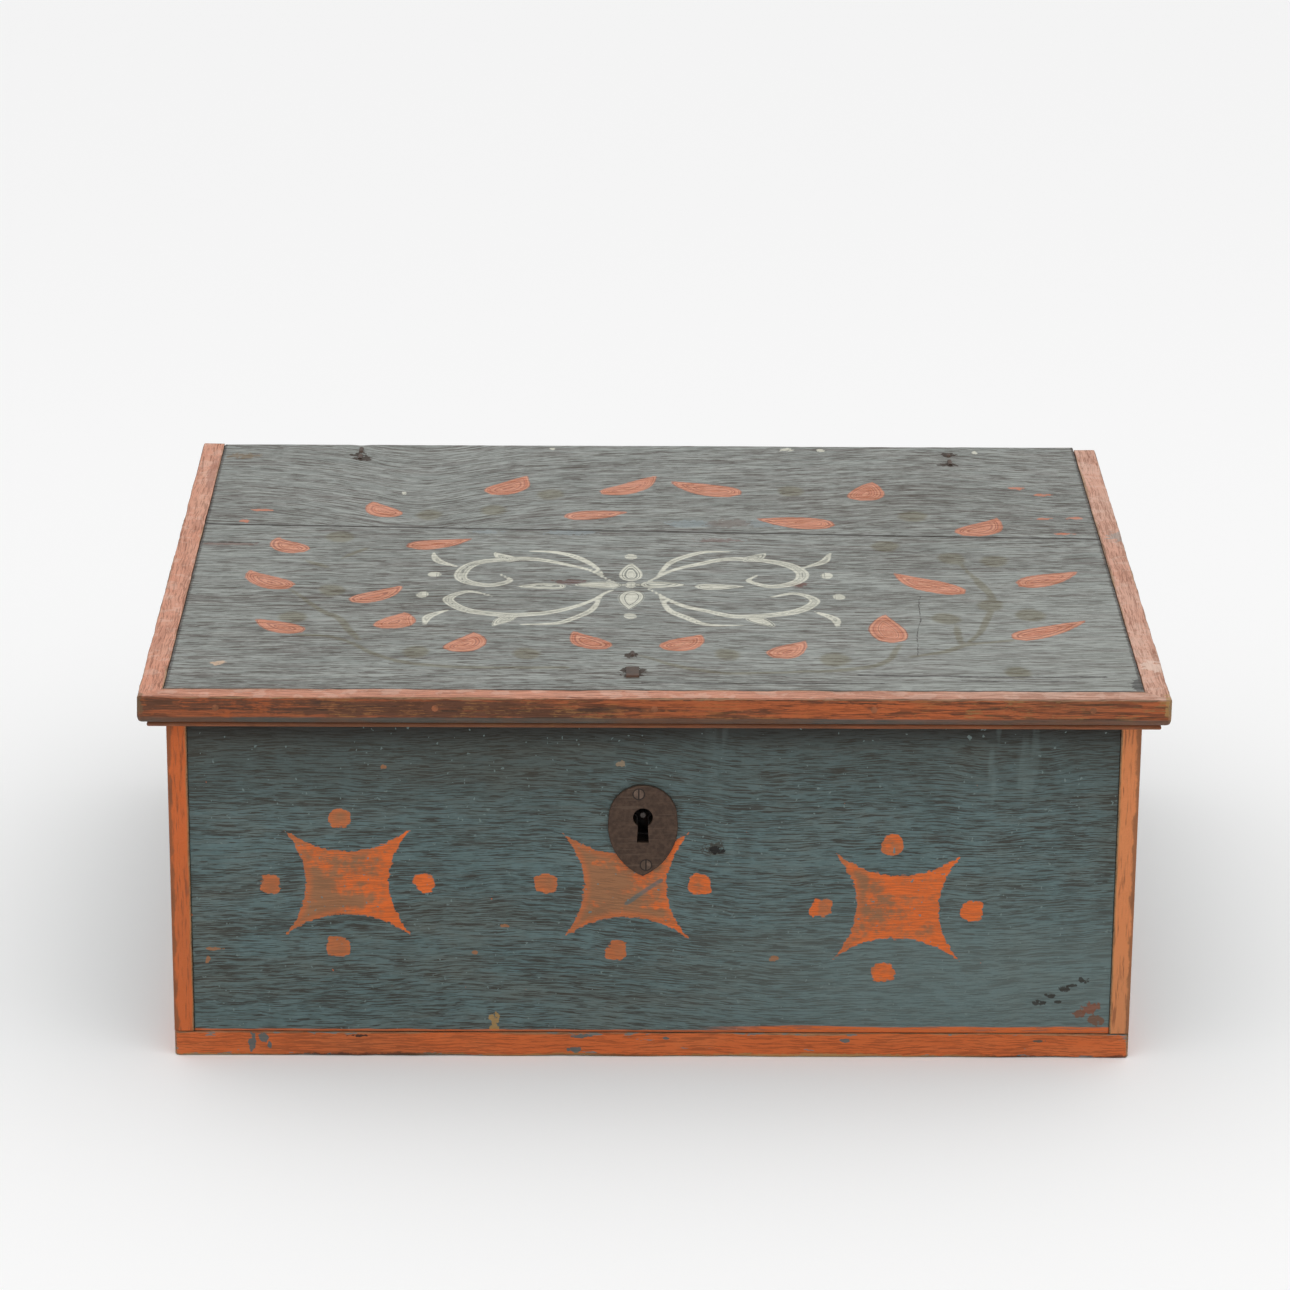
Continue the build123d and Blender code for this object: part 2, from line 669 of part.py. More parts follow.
mitre_left = Plane(origin=(-panel_half, panel_front, 0), z_dir=(1, -1, 0))
mitre_right = Plane(origin=(panel_half, panel_front, 0), z_dir=(-1, -1, 0))
worn_left = Plane(origin=(lid_corner_wear - lid_width / 2, lid_front, 0), z_dir=(1, 1, 0))
worn_right = Plane(origin=(lid_width / 2 - lid_corner_wear, lid_front, 0), z_dir=(-1, 1, 0))


def moulding_profile():
    """The strip's section: a flat face over a quarter round, a quirk, and a bead at the bottom."""
    round_low = -moulding_face - ovolo_drop
    round_in = moulding_width - ovolo_reach
    bead_top = round_low - quirk_height
    bead_in = round_in - quirk_depth
    diagonal = sin(radians(45))
    with BuildSketch() as section:
        with BuildLine():
            Polyline((bead_in, -moulding_height), (0, -moulding_height), (0, 0), (moulding_width, 0),
                     (moulding_width, -moulding_face))
            ThreePointArc((moulding_width, -moulding_face),
                          (moulding_width - ovolo_reach * (1 - diagonal),
                           -moulding_face - ovolo_drop * diagonal),
                          (round_in, round_low))
            Polyline((round_in, round_low), (bead_in, round_low), (bead_in, bead_top))
            ThreePointArc((bead_in, bead_top),
                          (bead_in + bead_round, (bead_top - moulding_height) / 2),
                          (bead_in, -moulding_height))
        make_face()
        fillet(section.vertices().group_by(Axis.Y)[-1].sort_by(Axis.X)[-1], top_arris_radius)
    return section.sketch


def moulding(start, outward, along, length):
    """A strip of moulding from start, before its mitres are cut."""
    with BuildPart() as strip:
        with BuildSketch(Plane(origin=start, x_dir=outward, z_dir=along)):
            add(moulding_profile())
        extrude(amount=length)
        add(moulding_nails.part, mode=Mode.SUBTRACT)
    return strip.part


with BuildPart() as lid_moulding_front:
    add(moulding((lid_width / 2, panel_front, box_height), (0, -1, 0), (-1, 0, 0), lid_width))
    for plane in (mitre_left, mitre_right, worn_left, worn_right):
        split(bisect_by=plane, keep=Keep.TOP)

with BuildPart() as lid_moulding_left:
    add(moulding((-panel_half, lid_front, box_height), (-1, 0, 0), (0, 1, 0), lid_depth))
    split(bisect_by=mitre_left, keep=Keep.BOTTOM)
    split(bisect_by=worn_left, keep=Keep.TOP)

with BuildPart() as lid_moulding_right:
    add(moulding((panel_half, lid_back - right_strip_short, box_height), (1, 0, 0), (0, -1, 0),
                 lid_depth - right_strip_short))
    split(bisect_by=mitre_right, keep=Keep.BOTTOM)
    split(bisect_by=worn_right, keep=Keep.TOP)

# The lid stops where its back edge meets the back board
stop_reach = rear_overhang - hinge_behind
stop_lean = atan2(hinge_below, stop_reach) + asin(hinge_behind / hypot(stop_reach, hinge_below))
stop_angle = 90 + degrees(stop_lean)
print(f"hinge axis at y {axis_y:.2f} z {axis_z:.2f}, the lid stops at {stop_angle:.1f} degrees")

pieces = {
    "front_board": front_board,
    "back_board": back_board,
    "left_side_board": left_side_board,
    "right_side_board": right_side_board,
    "bottom_board_front": bottom_board_front,
    "bottom_board_rear": bottom_board_rear,
    "corner_nails": corner_nails,
    "bottom_nails": bottom_nails,
    "escutcheon": escutcheon,
    "escutcheon_screws": escutcheon_screws,
    "lock_plate": lock_plate,
    "lock_case": lock_case,
    "lock_case_rivets": lock_case_rivets,
    "lock_key_pin": lock_key_pin,
    "lock_bolt": lock_bolt,
    "lock_bolt_studs": lock_bolt_studs,
    "lock_spring": lock_spring,
    "lock_nails": lock_nails,
    "lock_keeper": lock_keeper,
    "keeper_nail": keeper_nail,
    "lid_board_front": lid_board_front,
    "lid_board_rear": lid_board_rear,
    "lid_moulding_front": lid_moulding_front,
    "lid_moulding_left": lid_moulding_left,
    "lid_moulding_right": lid_moulding_right,
    "moulding_nails": moulding_nails,
    "hinge_eye_left": hinge_eye_left,
    "hinge_eye_right": hinge_eye_right,
    "hinge_staple_left": hinge_staple_left,
    "hinge_staple_right": hinge_staple_right,
}
for name, piece in pieces.items():
    piece.part.label = name
    export_step(piece.part, f"parts/{name}.step")
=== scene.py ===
# %% [markdown]
# # A painted oak box with an iron lock
# This lesson dresses a joiner's model of a small oak box. The model gives every board, nail and
# strip its size and place, and Blender gives them paint, grain, rust and a hundred years of use.
# All lengths are in metres, so millimetres are written as a number times MM.

# %% Load the model and measure it
import json
from math import cos, pi, radians, sin

import bmesh
import bpy
import numpy as np
from mathutils import Matrix, Vector, noise

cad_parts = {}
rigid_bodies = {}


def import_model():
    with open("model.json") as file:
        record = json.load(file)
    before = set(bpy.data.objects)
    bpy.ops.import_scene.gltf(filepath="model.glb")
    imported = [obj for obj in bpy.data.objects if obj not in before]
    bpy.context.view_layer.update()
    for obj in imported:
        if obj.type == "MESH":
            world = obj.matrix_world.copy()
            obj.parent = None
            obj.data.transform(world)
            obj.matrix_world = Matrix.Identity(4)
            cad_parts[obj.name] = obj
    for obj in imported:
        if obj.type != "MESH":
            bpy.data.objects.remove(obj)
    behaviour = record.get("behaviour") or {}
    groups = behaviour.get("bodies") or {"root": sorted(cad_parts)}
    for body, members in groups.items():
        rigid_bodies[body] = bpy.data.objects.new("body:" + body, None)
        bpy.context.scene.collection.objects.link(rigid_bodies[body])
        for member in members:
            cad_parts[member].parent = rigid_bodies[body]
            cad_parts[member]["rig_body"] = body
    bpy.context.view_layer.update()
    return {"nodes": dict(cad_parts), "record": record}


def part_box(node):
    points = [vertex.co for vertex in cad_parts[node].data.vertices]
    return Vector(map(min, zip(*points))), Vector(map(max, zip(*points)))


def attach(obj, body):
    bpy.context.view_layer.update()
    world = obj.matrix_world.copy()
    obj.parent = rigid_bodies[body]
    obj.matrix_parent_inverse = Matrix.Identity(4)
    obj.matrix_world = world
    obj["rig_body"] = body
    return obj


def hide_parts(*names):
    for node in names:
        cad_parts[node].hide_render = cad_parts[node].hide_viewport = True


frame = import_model()
MM = 0.001


def placed(name, data):
    """An object for a mesh, a camera or a lamp, put into the scene."""
    thing = bpy.data.objects.new(name, data)
    bpy.context.scene.collection.objects.link(thing)
    return thing


# %% [markdown]
# ## Camera
# A product photograph is taken with a long lens from a little above, so that upright edges stay
# nearly parallel. The camera is turned by three angles. Building its matrix from its own right,
# up and backward directions avoids guessing the order in which three angles apply.

# %% Place the camera
PITCH = radians(19.686)
YAW = radians(0.452)
ROLL = radians(-0.368)
PLACE = Vector((-0.0222, -2.4060, 1.0099))
LENS, SENSOR = 135.8, 36.0

ahead = Vector((sin(YAW) * cos(PITCH), cos(YAW) * cos(PITCH), -sin(PITCH)))
right = Vector((cos(YAW), -sin(YAW), 0))
down = ahead.cross(right)
tilted_right = cos(ROLL) * right + sin(ROLL) * down
tilted_down = cos(ROLL) * down - sin(ROLL) * right

camera = placed("camera", bpy.data.cameras.new("camera"))
camera.data.lens = LENS
camera.data.sensor_width = SENSOR
turn = Matrix((tilted_right, -tilted_down, -ahead)).transposed().to_4x4()
camera.matrix_world = Matrix.Translation(PLACE) @ turn
bpy.context.scene.camera = camera
bpy.context.scene.view_settings.view_transform = "Standard"
print("camera looks along", [round(v, 3) for v in ahead])

# %% [markdown]
# ## Shader maths
# A finish is a material whose colour is worked out from where a point lies on the wood. Wiring
# that by hand takes hundreds of lines, so an output socket is wrapped in a class that knows the
# arithmetic signs: adding two wires makes an Add node.

# %% Wires
class Wire:
    """The output of a node. Arithmetic on wires adds Math nodes."""

    def __init__(self, nodes, socket):
        self.nodes = nodes
        self.socket = socket

    def maths(self, operation, *values):
        return self.nodes.node("ShaderNodeMath", {"operation": operation}, dict(enumerate(values)))

    def __add__(self, other):
        return self.maths("ADD", self, other)

    def __sub__(self, other):
        return self.maths("SUBTRACT", self, other)

    def __rsub__(self, other):
        return self.maths("SUBTRACT", other, self)

    def __mul__(self, other):
        return self.maths("MULTIPLY", self, other)

    def __truediv__(self, other):
        return self.maths("DIVIDE", self, other)

    def __rtruediv__(self, other):
        return self.maths("DIVIDE", other, self)

    def __abs__(self):
        return self.maths("ABSOLUTE", self)

    __radd__ = __add__
    __rmul__ = __mul__

    def least(self, other):
        return self.maths("MINIMUM", self, other)

    def most(self, other):
        return self.maths("MAXIMUM", self, other)

    def rise(self, low, high):
        """0 below low and 1 above high, with a soft step between. Low above high turns it round."""
        inputs = {"Value": self, "From Min": low, "From Max": high}
        return self.nodes.node("ShaderNodeMapRange", {"interpolation_type": "SMOOTHSTEP"}, inputs)


def largest(wires):
    """The largest of several wires."""
    most, *others = wires
    for wire in others:
        most = most.most(wire)
    return most


print("wires add, subtract, multiply, divide and compare")

# %% [markdown]
# ## Node trees and finishes
# Every node is added by one method, which takes its type, its settings and what goes into its
# sockets. A finish is such a tree with a shader in it, and it knows the place of a point on the
# wood. That place is the Object coordinate, which stays with a piece when its lid swings open.

# %% Node trees and finishes
class Nodes:
    """A node tree, with one method that adds any node."""

    def __init__(self, tree):
        self.tree = tree

    def connect(self, value, socket):
        if isinstance(value, Wire):
            self.tree.links.new(value.socket, socket)
        elif isinstance(value, tuple) and len(value) == 3 and socket.type == "RGBA":
            socket.default_value = (*value, 1)
        else:
            socket.default_value = value

    def node(self, kind, settings=None, inputs=None, output=0):
        node = self.tree.nodes.new(kind)
        for key, value in (settings or {}).items():
            setattr(node, key, value)
        for key, value in (inputs or {}).items():
            self.connect(value, node.inputs[key])
        return Wire(self, node.outputs[output])


class Finish(Nodes):
    """A material, with a few words for paint and wood."""

    def __init__(self, name, **constants):
        self.material = bpy.data.materials.new(name)
        self.material.use_nodes = True
        super().__init__(self.material.node_tree)
        self.shader = self.tree.nodes["Principled BSDF"]
        for socket, value in constants.items():
            self.shader.inputs[socket.replace("_", " ")].default_value = value
        self.place = self.node("ShaderNodeTexCoord", output="Object")
        axes = self.node("ShaderNodeSeparateXYZ", inputs={0: self.place}).socket.node
        self.x, self.y, self.z = (Wire(self, axis) for axis in axes.outputs)

    def mix(self, under, over, amount):
        """A colour between two others. The sockets of Mix that take colours are 6 and 7."""
        inputs = {0: amount, 6: under, 7: over}
        return self.node("ShaderNodeMix", {"data_type": "RGBA"}, inputs, 2)

    def noise(self, stretch, detail=3.0, rough=0.55, shift=0.0, place=None):
        """Soft noise that changes about stretch times a metre along X, Y and Z."""
        place = self.node("ShaderNodeVectorMath", {"operation": "MULTIPLY_ADD"},
                          {0: place or self.place, 1: stretch, 2: (shift, shift, shift)})
        inputs = {"Vector": place, "Scale": 1.0, "Detail": detail, "Roughness": rough}
        return self.node("ShaderNodeTexNoise", inputs=inputs)

    def attribute(self, name):
        return self.node("ShaderNodeAttribute", {"attribute_name": name}, output="Fac")

    def paint(self, colour, roughness, height, strength=0.5, distance=0.0004):
        """Sends what was worked out to the shader, with the height as a bump."""
        inputs = {"Strength": strength, "Distance": distance, "Height": height}
        bump = self.node("ShaderNodeBump", inputs=inputs)
        self.connect(colour, self.shader.inputs["Base Color"])
        self.connect(roughness, self.shader.inputs["Roughness"])
        self.connect(bump, self.shader.inputs["Normal"])
        return self.material


print("a finish can mix colours, add noise and read attributes")

# %% [markdown]
# ## Floor
# The box stands on pale paper that runs on behind it. A large flat grid does, because a plain
# pale colour that is hardly darker far away already looks like paper swept up to a wall.

# %% Floor
FLOOR_NEAR = (0.96, 0.96, 0.96)
FLOOR_FAR = (0.94, 0.94, 0.94)
FLOOR_HALF = 12.0

mesh = bmesh.new()
bmesh.ops.create_grid(mesh, x_segments=4, y_segments=4, size=FLOOR_HALF)
data = bpy.data.meshes.new("paper_floor")
mesh.to_mesh(data)
mesh.free()
floor = placed("paper_floor", data)
paper = Finish("paper", Roughness=0.9, Specular_IOR_Level=0.0)
far_away = paper.y.rise(0.1, 1.6)
paper.connect(paper.mix(FLOOR_NEAR, FLOOR_FAR, far_away), paper.shader.inputs["Base Color"])
floor.data.materials.append(paper.material)
print("floor", floor.dimensions.x, "m wide")

# %% [markdown]
# ## Sky and lamp
# A photographer's tent lights the box softly from above and from all sides. Here the sky is
# brightest straight above, so the lid and the paper are bright, the walls are darker and the
# shadow under the lid is soft. Light Path tells the rays that light the box from those of the
# camera and of glossy reflections, which see an even white instead.

# %% Sky and lamp
SKY_SIDE = 0.36
SKY_TOP = 1.48
SKY_SEEN = 0.91
LAMP_WATTS = 8.0
LAMP_SIZE = 2.6
LAMP_PLACE = Vector((0.4, -1.2, 2.8))

world = bpy.data.worlds.new("sky")
world.use_nodes = True
bpy.context.scene.world = world
sky = Nodes(world.node_tree)
direction = sky.node("ShaderNodeTexCoord", output="Generated")
height = sky.node("ShaderNodeSeparateXYZ", inputs={0: direction}, output="Z").most(0.0)
glow = height * height * (SKY_TOP - SKY_SIDE) + SKY_SIDE
lights = largest([sky.node("ShaderNodeLightPath", output=ray)
                  for ray in ("Is Diffuse Ray", "Is Shadow Ray")])
background = sky.tree.nodes["Background"]
sky.connect(lights * (glow - SKY_SEEN) + SKY_SEEN, background.inputs["Strength"])
background.inputs["Color"].default_value = (1, 1, 1, 1)

lamp = placed("soft_lamp", bpy.data.lights.new("soft_lamp", "AREA"))
lamp.data.energy = LAMP_WATTS
lamp.data.size = LAMP_SIZE
lamp.location = LAMP_PLACE
lamp.rotation_euler = (-LAMP_PLACE).to_track_quat("-Z", "Y").to_euler()
print("sky", SKY_SIDE, "to", SKY_TOP, "lamp", LAMP_WATTS, "W")

# %% [markdown]
# ## Oak under old paint
# Oak has long open pores. Old paint sinks into them and rubs off the ridges between, so the board
# shows short dark dashes along its grain, brown where the paint is thin, and bare wood on its
# edges. All three come from noise stretched along the grain, and the edges from the board's box.

# %% Grain and wear
BARE_OAK = (0.36, 0.23, 0.12)
OLD_OAK = (0.24, 0.15, 0.085)
PORE = (0.030, 0.024, 0.019)


def stretched(grain, long, across):
    """Noise frequencies for wood whose grain runs along axis 0, 1 or 2."""
    return tuple(long if axis == grain else across for axis in range(3))


class Oak(Finish):
    """A finish on wood that knows where its board begins and ends and how its grain runs. The
    grain wanders in one direction across itself and arches over figures given as a middle, a half
    width and a height along X, as growth rings do where a board was cut near a knot."""

    def __init__(self, name, low, high, grain, across, shift=0.0, figures=(), gloss=0.25, coarse=1.0):
        super().__init__(name, Roughness=0.5, Specular_IOR_Level=gloss)
        self.low, self.high = low, high
        wander = (self.noise((9, 9, 9), 3, 0.5, shift + 19) - 0.5) * 0.007
        wander = wander + (self.noise((45, 45, 45), 2, 0.6, shift + 21) - 0.5) * 0.0025
        for middle, half_width, height in figures:
            away = (self.x - middle * MM) / (half_width * MM)
            wander = wander + (height * MM) / (1.0 + away * away)
        lift = self.node("ShaderNodeCombineXYZ", inputs={across: wander})
        self.flow = self.node("ShaderNodeVectorMath", {"operation": "ADD"}, {0: self.place, 1: lift})
        self.fine = self.noise(stretched(grain, 70, 2000 / coarse), 3, 0.65, shift, self.flow)
        self.fibre = self.noise(stretched(grain, 150, 3600 / coarse), 2, 0.6, shift + 3, self.flow)
        self.bands = self.noise(stretched(grain, 6, 90), 4, 0.6, shift + 5, self.flow)
        self.patches = self.noise(stretched(grain, 16, 40), 4, 0.6, shift + 7)
        self.cloud = self.noise((6, 6, 6), 2, 0.5, shift + 9)
        self.rings = self.noise(stretched(grain, 20, 420), 3, 0.7, shift + 17, self.flow)
        self.ragged = self.noise((330, 330, 330), 3, 0.6, shift + 15)
        self.mottled = self.noise((110, 110, 110), 3, 0.6, shift + 23)
        dashes = self.noise(stretched(grain, 60, 1300 / coarse), 2, 0.6, shift + 13, self.flow)
        dashes = (dashes + (self.bands - 0.5) * 0.18).rise(0.555, 0.580)
        self.pores = (self.fine + (self.bands - 0.5) * 0.18).rise(0.550, 0.580) * 0.8
        self.pores = self.pores.most(dashes)

    def edge_distance(self):
        """How far a point of the surface is from the nearest edge of the board's box."""
        gaps = []
        for axis, low, high in zip((self.x, self.y, self.z), self.low, self.high):
            gaps.append((high - low) / 2 - abs(axis - (low + high) / 2))
        a, b, c = gaps
        return a.least(b).most(a.most(b).least(c))

    def bare(self):
        """Oak that was never painted: pale between its growth rings and dark along its pores."""
        wood = self.mix(BARE_OAK, OLD_OAK, self.bands.rise(0.35, 0.65))
        wood = self.mix(wood, OLD_OAK, self.fibre.rise(0.45, 0.7) * 0.5)
        return self.mix(wood, PORE, self.pores * 0.45)

    def relief(self):
        """The height of the surface: pores are sunk in it and fibres stand up."""
        return (1.0 - self.pores) * 0.7 + self.fibre * 0.3


print("oak is ready, with pores in", PORE)

# %% [markdown]
# ## Stars and dots on the front
# The front board carries three four-pointed stars with dots round them, laid on with a brush.
# Each star is the part of the board that lies inside four curves, so a formula draws it sharply
# at any size. A texture would blur when someone looks closer.

# %% Stars and dots
front_low, front_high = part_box("front_board")
STAR_TIP = (31.0 * MM, 28.0 * MM)
STAR_WAIST = (20.3 * MM, 16.6 * MM)
STARS = {  # place along X and Z, lean, and how much of the orange is rubbed away
    "left": (-150.3, 93.0, 0.0, 0.38), "middle": (-13.6, 91.8, 0.3, 0.70), "right": (120.6, 80.9, -1.0, 0.20),
}
DOT_HALF = (5.4 * MM, 5.2 * MM)
DOTS = [(-153.5, 127.0), (-188.4, 92.5), (-112.7, 92.6), (-155.5, 58.9),
        (-52.2, 92.4), (23.5, 92.8), (-18.6, 57.8),
        (117.1, 114.5), (82.4, 79.9), (157.8, 79.2), (114.2, 46.0)]
DULL_DOTS = [(-153.5, 127.0), (-188.4, 92.5), (-52.2, 92.4), (-18.6, 57.8), (-155.5, 58.9)]


def star(finish, x, z, lean):
    """How far a point is inside a star, in metres. Its sides are parabolas from tip to tip."""
    across = finish.x - x * MM
    upward = abs(finish.z - z * MM - across * lean * 0.02)
    across = abs(across)
    rise = (STAR_TIP[1] - STAR_WAIST[1]) / STAR_TIP[0] ** 2
    bulge = (STAR_TIP[0] - STAR_WAIST[0]) / STAR_TIP[1] ** 2
    below_curve = STAR_WAIST[1] + across * across * rise - upward
    beside_curve = STAR_WAIST[0] + upward * upward * bulge - across
    within_tips = (STAR_TIP[0] - across).least(STAR_TIP[1] - upward)
    return below_curve.least(beside_curve).least(within_tips)


def dot(finish, x, z):
    """How far a point is inside a rounded square dot, in metres."""
    across = abs(finish.x - x * MM) / DOT_HALF[0]
    upward = abs(finish.z - z * MM) / DOT_HALF[1]
    distance = across * across * across + upward * upward * upward
    return (1.0 - distance) * (DOT_HALF[0] / 2.5)


print(len(STARS), "stars and", len(DOTS), "dots")

# %% [markdown]
# ## Blue paint
# The walls wear a dark grey blue that has gone brown where hands rubbed it. Each line of the
# coat lays one more colour over those below it, as dirt, light and wear did on the real boards,
# so a line can be changed or left out without touching the others.

# %% Blue paint
BLUE = (0.092, 0.142, 0.142)
PALE_BLUE = (0.160, 0.215, 0.208)
TEAL = (0.120, 0.190, 0.198)
BROWNED_BLUE = (0.100, 0.094, 0.070)
ORANGE = (0.78, 0.155, 0.024)
DULL_ORANGE = (0.34, 0.150, 0.066)
OCHRE = (0.40, 0.25, 0.09)
ORANGE_EDGE = (0.64, 0.145, 0.036)
GRAIN_DIRT = (0.080, 0.064, 0.048)
SUNK_DIRT = (0.042, 0.033, 0.025)


def blue_coat(oak):
    """The colour of blue paint, with dirt along the grain and wood in its pores."""
    colour = oak.mix(BLUE, PALE_BLUE, oak.patches.rise(0.40, 0.72) * 0.55)
    colour = oak.mix(colour, TEAL, oak.mottled.rise(0.48, 0.58) * 0.45)
    colour = oak.mix(colour, GRAIN_DIRT, oak.rings.rise(0.535, 0.575) * 0.28)
    thin = (oak.patches * 0.6 + oak.bands * 0.4 + oak.cloud * 0.5).rise(0.72, 0.90)
    colour = oak.mix(colour, BROWNED_BLUE, thin * 0.35)
    colour = oak.mix(colour, PALE_BLUE, oak.fibre.rise(0.50, 0.56) * 0.35)
    return oak.mix(colour, SUNK_DIRT, oak.pores * 0.80)


print("blue paint from", BLUE, "to", PALE_BLUE)

# %% [markdown]
# ## Marks of use
# A worn board has chips, nail marks, scratches and flecks. Each is a small shape on a face, given
# by its place in millimetres, and noise makes its edge ragged so that no two look stamped.

# %% Spots, lines and flecks
def spot(oak, upward, middle, size):
    """1 inside a small ragged spot on a face that runs along X and along the wire upward."""
    sideways = (oak.x - middle[0] * MM) / (size[0] * MM)
    lengthways = (upward - middle[1] * MM) / (size[1] * MM)
    reach = sideways * sideways + lengthways * lengthways + (oak.ragged - 0.5) * 5.0
    return reach.rise(1.1, 0.7)


def spotted(oak, colour, spots, upward, amount):
    """Lays a list of spots over a colour."""
    for middle, size, tone in spots:
        colour = oak.mix(colour, tone, spot(oak, upward, middle, size) * amount)
    return colour


def segment(oak, upward, start, end, wobble):
    """The distance from a line between two places on a face, drawn with an unsteady hand."""
    start, end = (np.array(point) * MM for point in (start, end))
    length = np.linalg.norm(end - start)
    ux, uy = (float(v) for v in (end - start) / length)
    dx, dy = oak.x - float(start[0]), upward - float(start[1])
    along = dx * ux + dy * uy
    beyond = (0.0 - along).most(along - float(length)).most(0.0)
    return abs(dx * uy - dy * ux + (oak.patches - 0.5) * wobble) + beyond


def specks(oak, frequency, rarity, shift):
    """Tiny flecks scattered over a face."""
    return oak.noise((frequency, frequency, frequency), 1, 0.5, shift).rise(rarity, rarity + 0.015)


print("spots, scratches and flecks are ready")

# %% [markdown]
# ## Orange paint of the stars
# The orange is thin. It went brown and dull where cloths and sleeves rubbed the left part of each
# star, stayed bright along the rims, and lets the dark pores of the oak show through.

# %% Orange paint of the stars
SMUDGE = ((121, 82), (12, 7))
SCRATCH = ((-13, 82), (4, 95))


def inside_ornament(oak):
    """How far a point is inside the nearest star or dot, in metres."""
    wobble = (oak.noise((90, 90, 90), 2, 0.5, 60.0) - 0.5) * 0.006
    stars = [star(oak, x, z, lean) for x, z, lean, wear in STARS.values()]
    return largest(stars + [dot(oak, x, z) + wobble for x, z in DOTS])


def rubbed_away(oak):
    """How much of the orange is gone, from 0 to 1."""
    mottled = oak.noise((55, 55, 75), 4, 0.65, 70.0)
    rubbed = (mottled - 0.5) * 3.4 + (oak.fine - 0.5) * 0.8 + (oak.ragged - 0.5) * 1.4 + 0.20
    rubbed = rubbed + spot(oak, oak.z, *SMUDGE) * 0.40
    for place in DULL_DOTS:
        rubbed = rubbed + spot(oak, oak.z, place, (11, 11)) * 0.75
    for x, z, lean, wear in STARS.values():
        leftward = (x * MM - oak.x) / STAR_TIP[0]
        rubbed = rubbed + abs(leftward).rise(1.3, 1.2) * (wear + leftward * 0.60)
    return rubbed.rise(0.05, 0.95)


def star_orange(oak, inside):
    """The orange of the stars and dots, with the scratch across the middle star."""
    bright_rim = inside.rise(0.0045, 0.0005)
    orange = oak.mix(ORANGE, DULL_ORANGE, rubbed_away(oak) * (1.0 - bright_rim * 0.45))
    orange = oak.mix(orange, BROWNED_BLUE, oak.pores * 0.28)
    scratch = segment(oak, oak.z, *SCRATCH, 0.004)
    return oak.mix(orange, BLUE, scratch.rise(1.6 * MM, 0.6 * MM) * 0.7)


print("orange", ORANGE, "dulls to", DULL_ORANGE)

# %% [markdown]
# ## The front board
# The board is painted darker towards the lid's edge and darkest right under it, as painted shade
# under the overhang. The foot is paler, and a damp cloth left light sweeps on the right. The painter's
# orange line along the bottom runs up on to the board. Inside the box and in the keyhole the oak was
# never painted, and painted shade darkens the keyhole.

# %% Marks on the front
# the next two colours are painted shade under the lid's overhang, in two strengths
LID_OVERHANG_SHADE = (0.050, 0.046, 0.035)
LID_SHADOW = (0.022, 0.019, 0.015)
KEYHOLE_SHADE = (0.020, 0.015, 0.012)
KEYHOLE = (-5.2, 124.5)
# the painted shade in the keyhole fades in between these two radii
KEYHOLE_RIM = (17.0, 15.0)  # where the dark round the keyhole starts and is full
FRONT_SPOTS = [  # x, z, half width, half height, colour
    ((-78.6, 20.5), (2.6, 3.0), OCHRE), ((-78.6, 15.2), (3.0, 1.6), OCHRE),
    # the near-black spot at 30.6, 111.0 is painted shade in a small hole
    ((30.0, 111.8), (5.5, 3.6), (0.055, 0.050, 0.040)), ((30.6, 111.0), (4.6, 2.1), (0.004, 0.003, 0.003)),
    ((-216.8, 57.4), (4.2, 0.9), DULL_ORANGE), ((-219.8, 51.8), (1.3, 2.0), DULL_ORANGE),
    ((192, 30), (3.0, 1.6), PORE), ((198, 33.5), (3.2, 1.2), PORE), ((204, 37), (2.6, 1.8), PORE),
    ((208, 39), (2.6, 1.0), PORE), ((213, 42), (3.0, 1.7), PORE), ((201, 30), (2.4, 0.9), PORE),
    ((218, 27), (4.5, 3.0), (0.24, 0.085, 0.045)), ((212, 23.5), (3.0, 2.0), (0.20, 0.080, 0.045)),
    ((221, 20.5), (4.0, 3.0), (0.17, 0.080, 0.045)), ((-73, 70), (2.0, 1.0), DULL_ORANGE),
    ((-88, 56), (2.0, 1.0), DULL_ORANGE), ((60, 53), (2.5, 1.4), DULL_ORANGE),
    ((-132, 154), (1.4, 1.4), DULL_ORANGE), ((-16, 156), (2.2, 1.6), (0.30, 0.22, 0.14)),
]


def front_shade(oak, colour):
    """Painted shade towards the lid's overhang, a paler foot on the right and the sweeps of a cloth."""
    # painted shade: the board darkens towards the lid's overhang, a little more on the upper left
    overhang_shade = (oak.z + (oak.cloud - 0.5) * 0.05).rise(0.105, 0.180) * 0.55
    overhang_shade = (overhang_shade + oak.x.rise(0.0, -0.2) * oak.z.rise(0.11, 0.15) * 0.15).least(0.9)
    colour = oak.mix(colour, LID_OVERHANG_SHADE, overhang_shade)
    # painted shade in a band right under the lid's edge
    colour = oak.mix(colour, LID_SHADOW, oak.z.rise(0.162, 0.175) * 0.85)
    pale_foot = oak.x.rise(-0.05, 0.15) * oak.z.rise(0.11, 0.04)
    colour = oak.mix(colour, PALE_BLUE, pale_foot * 0.48)
    sweeps = oak.noise((70, 70, 11), 3, 0.6, 80.0, oak.flow).rise(0.56, 0.66)
    reach = oak.x.rise(0.01, 0.06) * oak.x.rise(0.205, 0.17) * oak.z.rise(0.085, 0.12)
    return oak.mix(colour, PALE_BLUE, sweeps * reach * 0.42)


